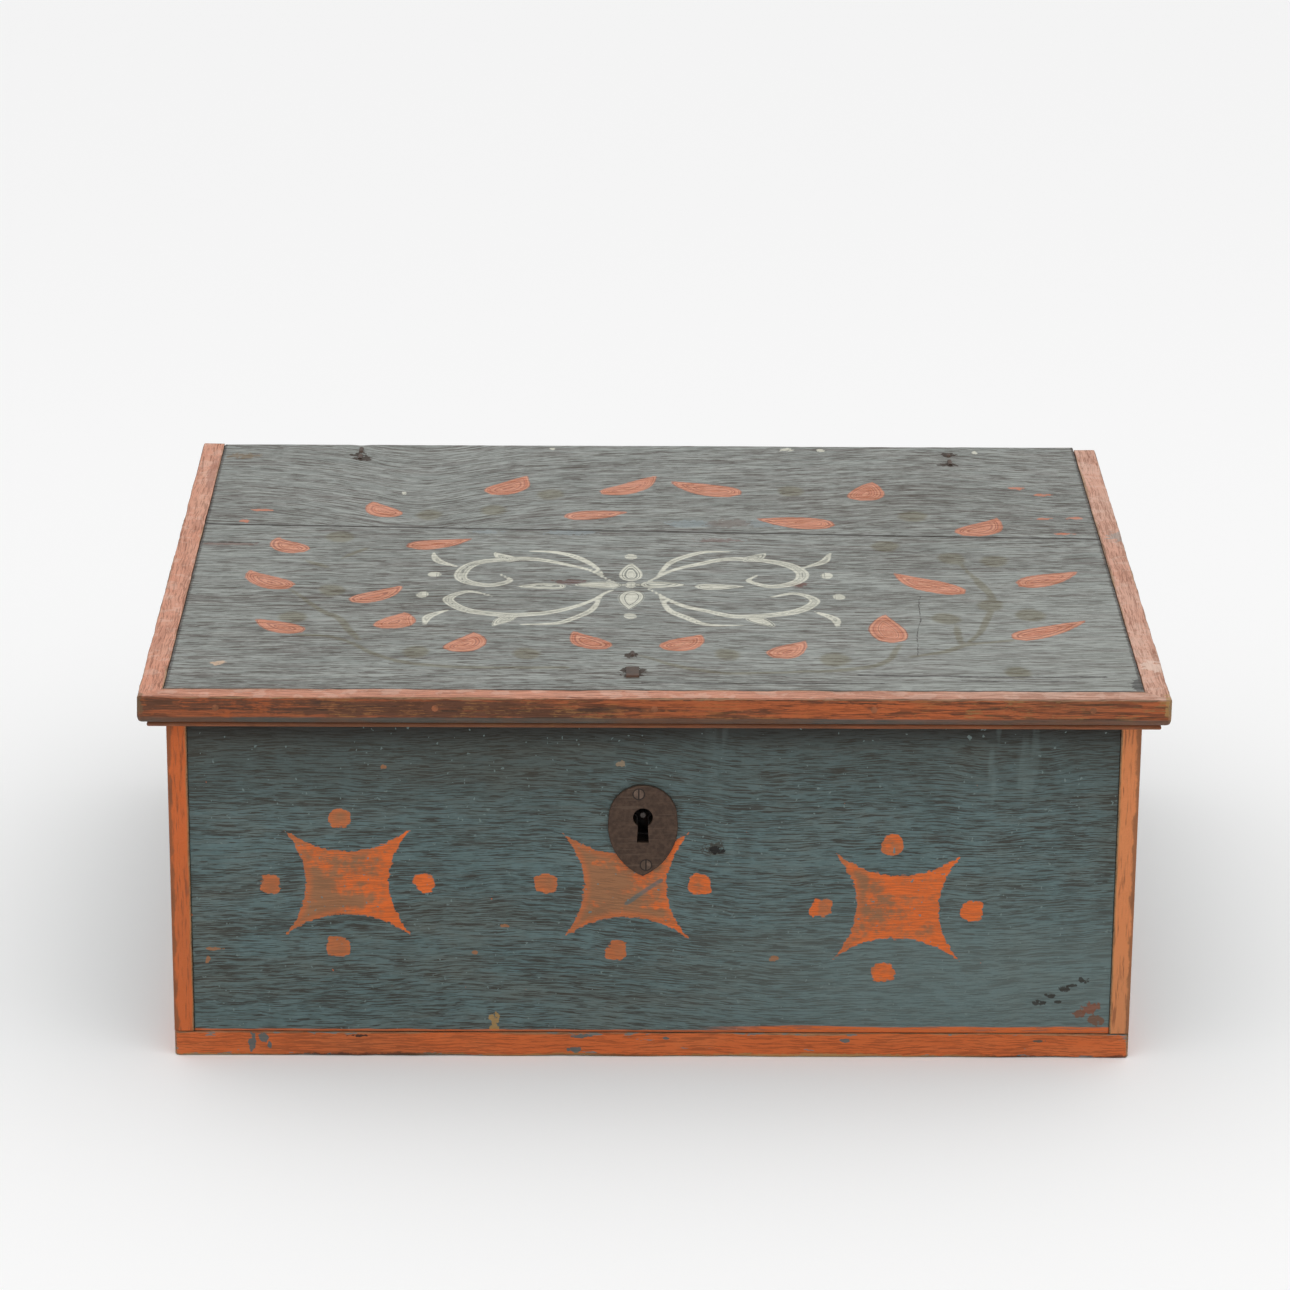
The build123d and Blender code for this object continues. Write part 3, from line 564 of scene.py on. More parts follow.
def front_foot(oak, colour):
    """The orange line that runs up from the bottom board, and the dark joint under it."""
    seam = (oak.z + (oak.patches - 0.5) * 0.004).rise(16.8 * MM, 16.0 * MM)
    seam = seam * oak.x.rise(0.02, 0.06)
    colour = oak.mix(colour, ORANGE_EDGE, seam * (1.0 - oak.pores * 0.5))
    foot = (oak.z + (oak.fine - 0.5) * 0.002).rise(14.6 * MM, 14.0 * MM)
    colour = oak.mix(colour, ORANGE_EDGE, foot * 0.8)
    gap = (oak.z + (oak.patches - 0.5) * 0.0012).rise(13.1 * MM, 12.5 * MM)
    return oak.mix(colour, PORE, gap * 0.85)


print(len(FRONT_SPOTS), "spots on the front")

# %% Finish of the front board
def front_finish():
    figures = [(55, 60, 7), (-40, 70, -5), (165, 45, 4)]
    oak = Oak("front_paint", front_low, front_high, 0, 2, 0.0, figures)
    colour = front_shade(oak, blue_coat(oak))
    inside = inside_ornament(oak)
    fray = (oak.fine - 0.5) * 0.0030 + (oak.ragged - 0.5) * 0.0040
    ornament = (inside + fray).rise(-0.0001, 0.0002)
    colour = oak.mix(colour, star_orange(oak, inside), ornament * 0.97)
    colour = oak.mix(colour, ORANGE, specks(oak, 230, 0.79, 40.0) * 0.7)
    colour = oak.mix(colour, PALE_BLUE, specks(oak, 420, 0.745, 50.0) * 0.9)
    colour = front_foot(oak, spotted(oak, colour, FRONT_SPOTS, oak.z, 0.85))
    behind_face = oak.y - front_low.y
    colour = oak.mix(oak.bare(), colour, behind_face.rise(1.1 * MM, 0.4 * MM))
    # painted shade inside the keyhole, on the faces behind the board's front
    across, upward = oak.x - KEYHOLE[0] * MM, oak.z - KEYHOLE[1] * MM
    hole = (across * across + upward * upward).rise(*((rim * MM) ** 2 for rim in KEYHOLE_RIM))
    colour = oak.mix(colour, KEYHOLE_SHADE, hole * behind_face.rise(0.2 * MM, 0.5 * MM))
    roughness = 0.45 + oak.pores * 0.3 + (oak.cloud - 0.5) * 0.2
    return oak.paint(colour, roughness, oak.relief() + ornament * 0.1)


def dress(piece, material):
    """Gives a piece its only material."""
    piece.data.materials.clear()
    piece.data.materials.append(material)


dress(frame["nodes"]["front_board"], front_finish())
print("front board painted")

# %% [markdown]
# ## Rubbed edges
# Paint goes first from the arrises, where every hand and cloth catches. The distance of a point
# from the nearest edge of its board, with some noise, tells where bare wood shows.

# %% Rubbed edges
def edge_paint(oak, colour, reach=0.0012):
    """Rubs the paint off the edges of a board down to bare wood."""
    worn = oak.edge_distance() + (oak.patches - 0.5) * 0.005 + (oak.fine - 0.5) * 0.003
    return oak.mix(colour, oak.bare(), worn.rise(reach, reach * 0.3) * 0.8)


print("edges wear first")

# %% [markdown]
# ## Boards with worn edges
# A real board never keeps a ruler-straight arris. A copy of the joiner's board is cut into slices
# along its grain, and the points on its arrises are pressed in by noise, so the edge nicks and
# wanders but the joints of the box stay where they were.

# %% Finish a piece's mesh
def finished(mesh, name, node):
    """Makes an object of a bmesh, lets it ride as its node does and stand for it."""
    data = bpy.data.meshes.new(name)
    mesh.to_mesh(data)
    mesh.free()
    data.polygons.foreach_set("use_smooth", [False] * len(data.polygons))
    piece = placed(name, data)
    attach(piece, frame["nodes"][node]["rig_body"])
    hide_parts(node)
    print(name, len(data.polygons), "faces")
    return piece


print("a finished piece rides on its node's body")

# %% Weather a board
ARRIS_REACH = 0.9 * MM
RIPPLE = 60  # how often the wear changes in a metre


def weathered(node, name, grain, slice_length, nick, seed):
    """A copy of a board whose arrises are worn unevenly, which stands for the CAD node."""
    low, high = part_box(node)
    mesh = bmesh.new()
    mesh.from_mesh(frame["nodes"][node].data)
    bmesh.ops.remove_doubles(mesh, verts=mesh.verts, dist=0.002 * MM)
    bmesh.ops.dissolve_limit(mesh, angle_limit=radians(0.5), verts=mesh.verts, edges=mesh.edges)
    along = Vector([1.0 if axis == grain else 0.0 for axis in range(3)])
    slices = int((high[grain] - low[grain]) / slice_length)
    for i in range(1, slices):
        at = low[grain] + (high[grain] - low[grain]) * (i + 0.4 * noise.noise((i, seed, 0))) / slices
        parts = mesh.verts[:] + mesh.edges[:] + mesh.faces[:]
        bmesh.ops.bisect_plane(mesh, geom=parts, plane_co=along * at, plane_no=along, dist=1e-7)
    middle = (low + high) / 2
    across = [axis for axis in range(3) if axis != grain]
    for vert in mesh.verts:
        gaps = [min(vert.co[axis] - low[axis], high[axis] - vert.co[axis]) for axis in across]
        if max(gaps) < ARRIS_REACH:
            place = vert.co * RIPPLE + Vector((seed, 0, 0))
            depth = nick * max(0, 0.5 + noise.noise(place) + 0.6 * noise.noise(place * 4))
            for axis in across:
                vert.co[axis] += depth * (1 if vert.co[axis] < middle[axis] else -1)
    bmesh.ops.triangulate(mesh, faces=mesh.faces)
    return finished(mesh, name, node)


print("boards wear up to", ARRIS_REACH / MM, "mm from their arrises")

# %% [markdown]
# ## Walls
# The sides and the back wear the same blue outside and are bare oak inside. The front edges of
# the side boards are orange, dirty along the outside and dark along the joint. One finish serves
# all three, because a colour can be chosen by where a point lies.

# %% Walls
OUT = {"left_side_board": (0, -1), "right_side_board": (0, 1), "back_board": (1, 1)}
INNER_FACE = 227.4 * MM  # of the side boards
SUNNY_ORANGE = (0.80, 0.34, 0.14)
GRIMY_ORANGE = (0.20, 0.065, 0.03)
EDGE_DIRT = (0.16, 0.08, 0.04)


def outer_side(oak, axis, side):
    """1 on the outer face of a wall and on its edges, 0 on the face inside the box."""
    inner = oak.low[axis] if side > 0 else oak.high[axis]
    gap = ((oak.x, oak.y, oak.z)[axis] - inner) * side + (oak.patches - 0.5) * 0.002
    return gap.rise(0.0, 1.2 * MM)


def front_edge_orange(oak):
    """The paint on the front edges of the side boards, lighter on the right one."""
    from_inside = abs(oak.x) - INNER_FACE
    orange = oak.mix(ORANGE_EDGE, DULL_ORANGE, oak.cloud.rise(0.45, 0.8) * 0.7)
    orange = oak.mix(orange, SUNNY_ORANGE, oak.x.rise(0, 0.1) * 0.55)
    grime = oak.noise((700, 700, 60), 3, 0.65)
    orange = oak.mix(orange, GRIMY_ORANGE, grime.rise(0.50, 0.70) * 0.7)
    inner_edge = (from_inside + (oak.patches - 0.5) * 0.002).rise(1.4 * MM, 0.6 * MM)
    orange = oak.mix(orange, OCHRE, inner_edge * 0.3)
    orange = oak.mix(orange, PORE, from_inside.rise(0.3 * MM, -0.3 * MM) * 0.7)
    outer_edge = (from_inside + (oak.bands - 0.5) * 0.006).rise(7.4 * MM, 8.8 * MM)
    return oak.mix(orange, EDGE_DIRT, outer_edge * 0.65)


def wall_finish(node, grain, shift):
    low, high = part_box(node)
    oak = Oak(node + "_paint", low, high, grain, 2, shift)
    colour = edge_paint(oak, blue_coat(oak))
    if grain == 1:
        front_edge = (oak.y - low.y + (oak.patches - 0.5) * 0.002).rise(1.2 * MM, 0.6 * MM)
        colour = oak.mix(colour, front_edge_orange(oak), front_edge)
    colour = oak.mix(oak.bare(), colour, outer_side(oak, *OUT[node]))
    return oak.paint(colour, 0.45 + oak.pores * 0.3, oak.relief())


for seed, (node, grain) in enumerate(zip(OUT, (1, 1, 0))):
    wall = weathered(node, "worn_" + node, grain, 9 * MM, 0.35 * MM, seed)
    dress(wall, wall_finish(node, grain, seed * 11.0))

# %% [markdown]
# ## Bottom boards
# Two boards are nailed under the walls, and only their edges are painted, in orange. Those edges
# take the knocks, so they have chips down to the blue that was there before and a dirty foot.

# %% Bottom boards
BODY_FACE = 192.5 * MM  # from the middle of the box to its front and back
FRESH_ORANGE = (0.68, 0.22, 0.075)
ORANGE_PORE = (0.16, 0.05, 0.025)
BASE_SPOTS = [  # x, z, half width, half height, colour
    ((-199, 7), (1.6, 7), BLUE), ((-193, 10), (2.4, 3), BLUE), ((-190, 6), (1.2, 2), BLUE),
    ((-36, 11), (6, 1.0), BLUE), ((-38, 3.5), (4, 1.4), BLUE), ((7, 10), (2, 0.8), BLUE),
    ((96, 9), (2.2, 1.2), BLUE), ((-147, 11), (5, 0.8), PORE), ((193, 9), (3, 0.8), BROWNED_BLUE),
]


def orange_coat(oak):
    """Orange paint, browner where it is thin, with dark pores."""
    colour = oak.mix(ORANGE_EDGE, FRESH_ORANGE, oak.patches.rise(0.5, 0.8) * 0.5)
    thin = (oak.bands * 0.5 + oak.cloud * 0.7).rise(0.62, 0.85)
    colour = oak.mix(colour, DULL_ORANGE, thin * 0.5)
    return oak.mix(colour, ORANGE_PORE, oak.pores * 0.48)


def bottom_finish(node, shift):
    low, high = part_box(node)
    oak = Oak(node + "_paint", low, high, 0, 2, shift)
    colour = edge_paint(oak, orange_coat(oak), 0.9 * MM)
    chips = oak.noise((60, 60, 240), 3, 0.7, shift + 20)
    chips = chips + oak.edge_distance().rise(0.004, 0.0) * 0.09
    colour = oak.mix(colour, PALE_BLUE, chips.rise(0.67, 0.69) * 0.85)
    colour = spotted(oak, colour, BASE_SPOTS, oak.z, 0.9)
    foot = oak.z + (oak.patches - 0.5) * 0.004 + (oak.ragged - 0.5) * 0.003
    foot_colour = oak.mix(OCHRE, PORE, oak.cloud.rise(0.45, 0.60))
    colour = oak.mix(colour, foot_colour, foot.rise(2.0 * MM, 0.8 * MM) * 0.75)
    side_faces = abs(oak.x).rise(high.x - 0.5 * MM, high.x)
    end_faces = abs(oak.y).rise(BODY_FACE - 1.0 * MM, BODY_FACE - 0.5 * MM)
    colour = oak.mix(oak.bare(), colour, side_faces.most(end_faces))
    return oak.paint(colour, 0.5 + oak.pores * 0.3, oak.relief())


for seed, node in enumerate(("bottom_board_front", "bottom_board_rear")):
    board = weathered(node, "worn_" + node, 0, 9 * MM, 0.4 * MM, seed + 5)
    dress(board, bottom_finish(node, seed * 7.0))

# %% [markdown]
# ## Mouldings
# The strips round the lid were run with a moulding plane: a flat face, a round, a narrow quirk and
# a bead. They are painted orange over blue, and the hollow under the face is painted dark, partly the old
# blue and partly painted shade.
# Their tops are paler, partly from fading and partly as painted sheen, and the flat face has gone dark with
# grime, most of all on the left.

# %% Moulding strips
FACE_FOOT = 184.8 * MM
ROUND_FOOT = 180.6 * MM
STRIP_INSIDE = (238.0 * MM, -193.0 * MM)  # the unpainted side of the strips
FADING_AND_SHEEN, TOP_LINES, RUBBED = (0.62, 0.42, 0.33), (0.24, 0.09, 0.05), (0.76, 0.55, 0.45)
GRIME, GRIME_FILM, GRIME_LINES = (0.050, 0.028, 0.017), (0.10, 0.05, 0.03), (0.030, 0.022, 0.016)
HOLLOW_BLUE_AND_SHADE, HOLLOW_BROWN_AND_SHADE, BEAD = (0.080, 0.085, 0.075), (0.14, 0.07, 0.042), (0.22, 0.085, 0.040)
STRIP_SPOTS = [  # x, y, half width, half depth, colour
    ((247.5, 44.5), (6, 8), (0.33, 0.31, 0.28)), ((246, -156), (6, 8), (0.75, 0.56, 0.46)),
    ((249.5, -203), (2.5, 6), OCHRE), ((-249.5, -203), (2.5, 6), (0.16, 0.10, 0.05)),
    ((-240, 150), (3, 30), (0.42, 0.20, 0.14)),
]


def strip_top(oak, colour):
    """The top of a strip, paler from fading and from painted sheen, more so on the right, and rubbed by dust
    cloths.
    """
    # painted sheen with fading: the top is mixed towards a pale salmon, more on the right
    fading_and_sheen = 0.5 + (oak.patches - 0.5) * 0.6 + oak.x.rise(0.0, 0.24) * 0.2
    colour = oak.mix(colour, FADING_AND_SHEEN, fading_and_sheen)
    lines = (oak.pores + oak.rings.rise(0.52, 0.57) * 0.6) * 0.42
    colour = oak.mix(colour, TOP_LINES, lines)
    return oak.mix(colour, RUBBED, oak.mottled.rise(0.52, 0.60) * 0.25)


def strip_face(oak, colour, grain, shift, on_face):
    """Grime in streaks along the flat face, with flecks of clean paint."""
    streaks = oak.noise(stretched(grain, 8, 330), 4, 0.68, shift + 31)
    leftness = oak.x.rise(0.16, -0.16)
    dirt = (streaks + leftness * 0.12 + (oak.fine - 0.5) * 0.55).rise(0.46, 0.58) * on_face
    colour = oak.mix(colour, GRIME, dirt * 0.8)
    colour = oak.mix(colour, GRIME_FILM, (oak.cloud * 0.6 + leftness * 0.3) * on_face)
    flecks = (oak.fine * 0.6 + oak.mottled * 0.4).rise(0.53, 0.57) * on_face
    colour = oak.mix(colour, oak.mix(ORANGE_EDGE, OCHRE, oak.cloud.rise(0.4, 0.6)), flecks * 0.45)
    return oak.mix(colour, GRIME_LINES, oak.rings.rise(0.56, 0.60) * on_face * 0.55)


def strip_hollow(oak, colour):
    """Dark blue and brown in the hollow under the face, partly old blue and partly painted shade, and rubbed
    orange on the bead.
    """
    hollow = (oak.z + (oak.fine - 0.5) * 0.0012).rise(FACE_FOOT + 0.4 * MM, FACE_FOOT - 0.6 * MM)
    bead = (oak.z + (oak.fine - 0.5) * 0.0008).rise(ROUND_FOOT + 0.3 * MM, ROUND_FOOT - 0.3 * MM)
    # old blue and painted shade in the hollow under the face
    blue = oak.mix(HOLLOW_BLUE_AND_SHADE, HOLLOW_BROWN_AND_SHADE, oak.patches.rise(0.4, 0.6) * 0.85)
    colour = oak.mix(colour, blue, hollow * (1.0 - bead) * 0.85)
    return oak.mix(colour, BEAD, bead * 0.7)


def moulding_finish(node, grain, shift):
    low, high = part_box(node)
    oak = Oak(node + "_paint", low, high, grain, 1 - grain, shift)
    colour = orange_coat(oak)
    on_face = oak.z.rise(high.z - 0.3 * MM, high.z - 0.8 * MM)
    colour = oak.mix(strip_top(oak, colour), colour, on_face)
    colour = strip_face(oak, colour, grain, shift, on_face)
    upper = oak.z.rise(FACE_FOOT, FACE_FOOT + 3 * MM)
    colour = strip_hollow(oak, spotted(oak, colour, STRIP_SPOTS, oak.y, upper * 0.7))
    colour = edge_paint(oak, colour, 0.8 * MM)
    inside_x = abs(oak.x).rise(STRIP_INSIDE[0] + 0.2 * MM, STRIP_INSIDE[0] - 0.2 * MM)
    inside_y = oak.y.rise(STRIP_INSIDE[1] - 0.2 * MM, STRIP_INSIDE[1] + 0.2 * MM)
    colour = oak.mix(colour, oak.bare(), inside_x * inside_y)
    return oak.paint(colour, 0.5 + oak.pores * 0.3, oak.relief())


STRIPS = {"lid_moulding_front": 0, "lid_moulding_left": 1, "lid_moulding_right": 1}
for seed, (node, grain) in enumerate(STRIPS.items()):
    strip = weathered(node, "worn_" + node, grain, 4 * MM, 0.3 * MM, seed + 9)
    dress(strip, moulding_finish(node, grain, seed * 5.0 + 2))

# %% [markdown]
# ## Painted ornament on the lid
# A folk painter lays a leaf with one press of a round brush: it starts broad and leaves a point.
# Each leaf here has a tip, a base and a fullness on each side. Stems and scrolls are strokes along
# a curve whose width swells and dies. For every point of a fine mesh the lesson measures how far
# it lies inside the nearest leaf or stroke, and the shader turns that distance into paint.

# %% Outlines of leaves and strokes
def smooth_route(points, steps=8):
    """A smooth line through a few points, which bends towards the neighbours of each stretch."""
    points = [np.array(p, float) for p in points]
    points = [2 * points[0] - points[1], *points, 2 * points[-1] - points[-2]]
    route = []
    for before, start, end, after in zip(points, points[1:], points[2:], points[3:]):
        for t in np.linspace(0, 1, steps, endpoint=False):
            route.append(0.5 * (2 * start + (end - before) * t
                                + (2 * before - 5 * start + 4 * end - after) * t ** 2
                                + (3 * start - before - 3 * end + after) * t ** 3))
    return np.array([*route, points[-2]])


def leaf_outline(tip, base, left, right, steps=14):
    """A leaf's outline, round at its base, bowed to its fuller side and hooked at its sharp tip."""
    tip, base = np.array(tip, float), np.array(base, float)
    spine = tip - base
    side = np.array((-spine[1], spine[0])) / np.linalg.norm(spine)
    t = np.linspace(0, 1, steps)[:, None]
    half = side * (left + right) / 2 * 2.6 * t ** 0.5 * (1 - t)
    bow = side * (left - right) / 2 * 5.1 * t ** 1.3 * (1 - t) ** 0.7
    middle = base + spine * (1.12 * t - 0.04) + bow
    return np.vstack((middle + half, (middle - half)[-2:0:-1]))


print("a leaf has", len(leaf_outline((0, 1), (0, 0), 1, 1)), "outline points")

# %% Distances into outlines and strokes
def segment_gaps(places, a, b):
    """The distance of each place from a straight segment, and how far along it lies."""
    edge = b - a
    along = np.clip(((places - a) @ edge) / (edge @ edge), 0, 1)
    return np.linalg.norm(places - a - along[:, None] * edge, axis=1), along


def inside_outline(places, outline):
    """How far each place lies inside a closed outline, negative outside it."""
    nearest = np.full(len(places), 1e9)
    inside = np.zeros(len(places), bool)
    for a, b in zip(outline, np.roll(outline, -1, axis=0)):
        nearest = np.minimum(nearest, segment_gaps(places, a, b)[0])
        crosses = (a[1] > places[:, 1]) != (b[1] > places[:, 1])
        slope = (b[0] - a[0]) / (b[1] - a[1] if b[1] != a[1] else 1e-9)
        inside ^= crosses & (places[:, 0] < a[0] + (places[:, 1] - a[1]) * slope)
    return np.where(inside, nearest, -nearest)


def inside_stroke(places, route, widest, thinnest):
    """How far each place lies inside a brush stroke that swells and dies along its route."""
    best = np.full(len(places), -1e9)
    count = len(route) - 1
    for i, (a, b) in enumerate(zip(route, route[1:])):
        gap, along = segment_gaps(places, a, b)
        t = (i + along) / count
        swell = np.sin(pi * t) ** 1.3
        best = np.maximum(best, thinnest + (widest - thinnest) * swell - gap)
    return best


print("places are measured against outlines and strokes")

# %% [markdown]
# ## Leaves, stems and buds
# The painter set orange leaves in two loose rings and joined them with olive stems and buds, which
# have nearly worn away. Their places were read from the photograph as a few points each, which is
# all that a stroke needs.

# %% Where the painter put things, in millimetres from the middle of the lid
LEAVES = [  # tip, base, fullness on the left and on the right
    ((-69, 146), (-85, 115), 8.5, 11), ((2, 148), (-25, 116), 6, 11.5), ((-14, 84), (-46, 76), 8, 7),
    ((-148, 100), (-138, 76), 11, 6.5), ((-96, 39), (-128, 24), 6.5, 9), ((-196, 40), (-182, 16), 12, 5),
    ((-207, -15), (-187, -43), 12, 7), ((-197, -91), (-177, -110), 10, 6),
    ((-131, -40), (-152, -63), 6, 9.5), ((-126, -80), (-136, -104), 7, 11.5),
    ((-91, -111), (-99, -137), 7, 12), ((-38, -108), (-24, -132), 10.5, 5.5),
    ((15, 139), (48, 117), 13, 7.5), ((121, 138), (115, 107), 9.5, 10.5), ((59, 74), (97, 64), 10.5, 9),
    ((184, 76), (167, 47), 7, 12.5), ((128, -16), (159, -46), 11.5, 6.5),
    ((219, -12), (190, -35), 7.5, 9.5), ((118, -83), (119, -122), 10.5, 9),
    ((216, -90), (181, -116), 7, 8.5), ((22, -112), (7, -134), 6.5, 11.5), ((74, -122), (59, -145), 8, 9.5),
]
STEMS = [
    [(-177, -114), (-160, -117), (-142, -137), (-125, -152), (-108, -159), (-75, -161), (-42, -161)],
    [(-186, -45), (-171, -72), (-158, -91), (-147, -122)], [(-180, 1), (-169, -10)],
    [(-161, 5), (-150, 21)], [(-7, -143), (27, -167), (62, -167), (96, -161), (114, -151), (123, -126)],
    [(127, -143), (143, -136), (156, -125), (179, -119)],
    [(156, -125), (167, -98), (173, -61), (168, -28), (159, 5)], [(153, -98), (153, -125)],
]
BUDS = [
    (-164, 41), (-119, 79), (-85, 88), (-54, 115), (-182, -87), (-164, -47), (-118, -139), (-63, -141),
    (148, -86), (172, -66), (191, -80), (179, 4), (157, 9), (123, 28), (141, 79), (77, 122),
    (37, -141), (90, -147), (178, -166),
]
BUD_SIZE = (7, 9)

print(len(LEAVES), "leaves,", len(STEMS), "stems and", len(BUDS), "buds")

# %% [markdown]
# ## A scroll in the middle
# A plain cream scroll fills the middle of the lid. Only its right half is given. The left half is
# its mirror image, as a painter folds a pattern over.

# %% A cream scroll
SCROLL_MIDDLE = (-11, -36)
SCROLL_SCALE = (0.90, 0.84)
SCROLLS = [  # the right half, as points from the middle, with the widest half width
    ([(10, 6), (30, 34), (62, 50), (92, 38), (98, 12), (82, -2), (68, 8), (74, 20)], 3.2),
    ([(10, -8), (28, -36), (58, -56), (90, -50), (104, -30), (94, -14), (80, -22)], 3.0),
    ([(16, 18), (24, 44), (42, 62), (58, 64)], 2.2),
    ([(16, -20), (22, -46), (40, -70), (62, -74)], 2.2),
    ([(100, 34), (112, 46), (116, 62)], 2.4),
    ([(104, -48), (114, -60), (116, -76)], 2.4),
]
PETALS = [  # tip, base and fullness of the right half's petals and leaves
    ((32, 0), (6, 0), 5.5, 5.0), ((64, -3), (38, -2), 4.0, 5.0),
    ((78, 62), (66, 46), 3.5, 5.0), ((78, -76), (66, -58), 5.0, 3.5),
]
SPINE_PETALS = [((0, 40), (0, 8), 6, 6), ((0, -44), (0, -10), 6, 6)]
SCROLL_DOTS = [(0, 54), (0, -58), (112, 18), (118, -20), (0, 0)]


def mirrored(point, side):
    return tuple(middle + scale * along for middle, scale, along
                 in zip(SCROLL_MIDDLE, SCROLL_SCALE, (side * point[0], point[1])))


cream_strokes = [(smooth_route([mirrored(p, side) for p in route]), widest)
                 for route, widest in SCROLLS for side in (-1, 1)]
cream_shapes = []
for tip, base, left, right_side in PETALS:
    for side in (-1, 1):
        halves = (left, right_side) if side > 0 else (right_side, left)
        cream_shapes.append(leaf_outline(mirrored(tip, side), mirrored(base, side), *halves))
for tip, base, left, right_side in SPINE_PETALS:
    cream_shapes.append(leaf_outline(mirrored(tip, 1), mirrored(base, 1), left, right_side))
print(len(cream_strokes), "scroll strokes and", len(cream_shapes), "petals")

# %% [markdown]
# ## The lid's two boards
# The lid's boards meet on a line that runs a little askew. Each one is a fine grid, bent to its
# board's outline, with its surface let down here and there as old planed boards are, then given
# edges and an underside. Paint is stored on its points as distances, in millimetres.

# %% Edges and surface of the lid's boards
GRID = 2.0 * MM
lid_low, lid_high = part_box("lid_board_front")
rear_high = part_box("lid_board_rear")[1]
JOINT_LEFT, JOINT_RIGHT = 62.0 * MM, 41.5 * MM
JOINT_WANDER = 0.25 * MM
NOTCH_X, NOTCH_HALF, NOTCH_DEPTH = -161 * MM, 6 * MM, 1.6  # a chip by the left hinge
TOP = 195.0 * MM
UNDERSIDE = lid_low.z
DROP, DROP_WAVES = 0.30, 0.20


def joint_y(x):
    share = (x - lid_low.x) / (lid_high.x - lid_low.x)
    return JOINT_LEFT + (JOINT_RIGHT - JOINT_LEFT) * share + JOINT_WANDER * noise.noise((x * 30, 0, 0))


def rear_y(x):
    worn = 0.7 + noise.noise((x * 25, 4, 0)) + 0.5 * noise.noise((x * 110, 5, 0))
    notch = NOTCH_DEPTH * max(0, 1 - abs(x - NOTCH_X) / NOTCH_HALF)
    return rear_high.y - (max(0, worn) * 0.5 + notch) * MM


def front_y(x):
    """The front edge, which is straight and meets its strip."""
    return lid_low.y


def sunk(x, y):
    """How far an old planed board has dropped below its highest parts."""
    waves = noise.noise((x * 8, y * 22, 1.7)) + 0.5 * noise.noise((x * 20, y * 70, 6.1))
    return (DROP + DROP_WAVES * waves) * MM


print("joint from", JOINT_LEFT / MM, "to", JOINT_RIGHT / MM, "mm, lid top at", TOP / MM, "mm")

# %% Paint as distances
FAR_OUTSIDE = -12.0
NEAR_SHAPE, NEAR_STROKE = 14, 10  # places farther off than this are left out
BRUSH_SHIFT = 7.3  # gives every leaf its own brush lines
STEM_HALF = (1.9, 1.4)  # widest and thinnest half width of a stem
SCROLL_THIN = 0.75
SCROLL_DOT = (3.2, 4.4)


def leaf_fields(places):
    """Distances into leaves, stems, buds and the cream scroll, and the painter's stroke across."""
    count = len(places)
    fields = {name: np.full(count, FAR_OUTSIDE) for name in ("leaf", "stem", "cream")}
    across = np.zeros(count)
    shapes = [("leaf", leaf_outline(*leaf)) for leaf in LEAVES]
    shapes += [("cream", shape) for shape in cream_shapes]
    for number, (layer, outline) in enumerate(shapes):
        centre = outline.mean(axis=0)
        close = np.abs(places - centre).max(axis=1) < np.ptp(outline, axis=0).max() / 2 + NEAR_SHAPE
        depth = inside_outline(places[close], outline)
        better = depth > fields[layer][close]
        where = np.flatnonzero(close)[better]
        fields[layer][where] = depth[better]
        across[where] = number * BRUSH_SHIFT + depth[better]
    strokes = [("stem", smooth_route(stem), *STEM_HALF) for stem in STEMS]
    strokes += [("cream", route, widest, SCROLL_THIN) for route, widest in cream_strokes]
    for layer, route, widest, thinnest in strokes:
        low, high = route.min(axis=0) - NEAR_STROKE, route.max(axis=0) + NEAR_STROKE
        close = np.flatnonzero(((places > low) & (places < high)).all(axis=1))
        depth = inside_stroke(places[close], route, widest, thinnest)
        better = depth > fields[layer][close]
        fields[layer][close[better]] = depth[better]
        if layer == "cream":
            across[close[better]] = depth[better]
    for bud in BUDS:
        reach = np.linalg.norm((places - bud) / BUD_SIZE, axis=1)
        fields["stem"] = np.maximum(fields["stem"], (1 - reach) * BUD_SIZE[0] * 0.5)
    for scroll_dot in SCROLL_DOTS:
        for side in (-1, 1):
            reach = np.linalg.norm((places - mirrored(scroll_dot, side)) / SCROLL_DOT, axis=1)
            fields["cream"] = np.maximum(fields["cream"], (1 - reach) * SCROLL_DOT[0])
    fields["across"] = across
    return fields


print("fields: leaf, stem, cream, across")

# %% Two boards
HAND_WAVES = 55  # how often the painter's hand wavers in a metre
HAND_WOBBLE = 1.6  # and how far, in millimetres
noise.seed_set(7)  # without a seed, vector noise starts from the clock


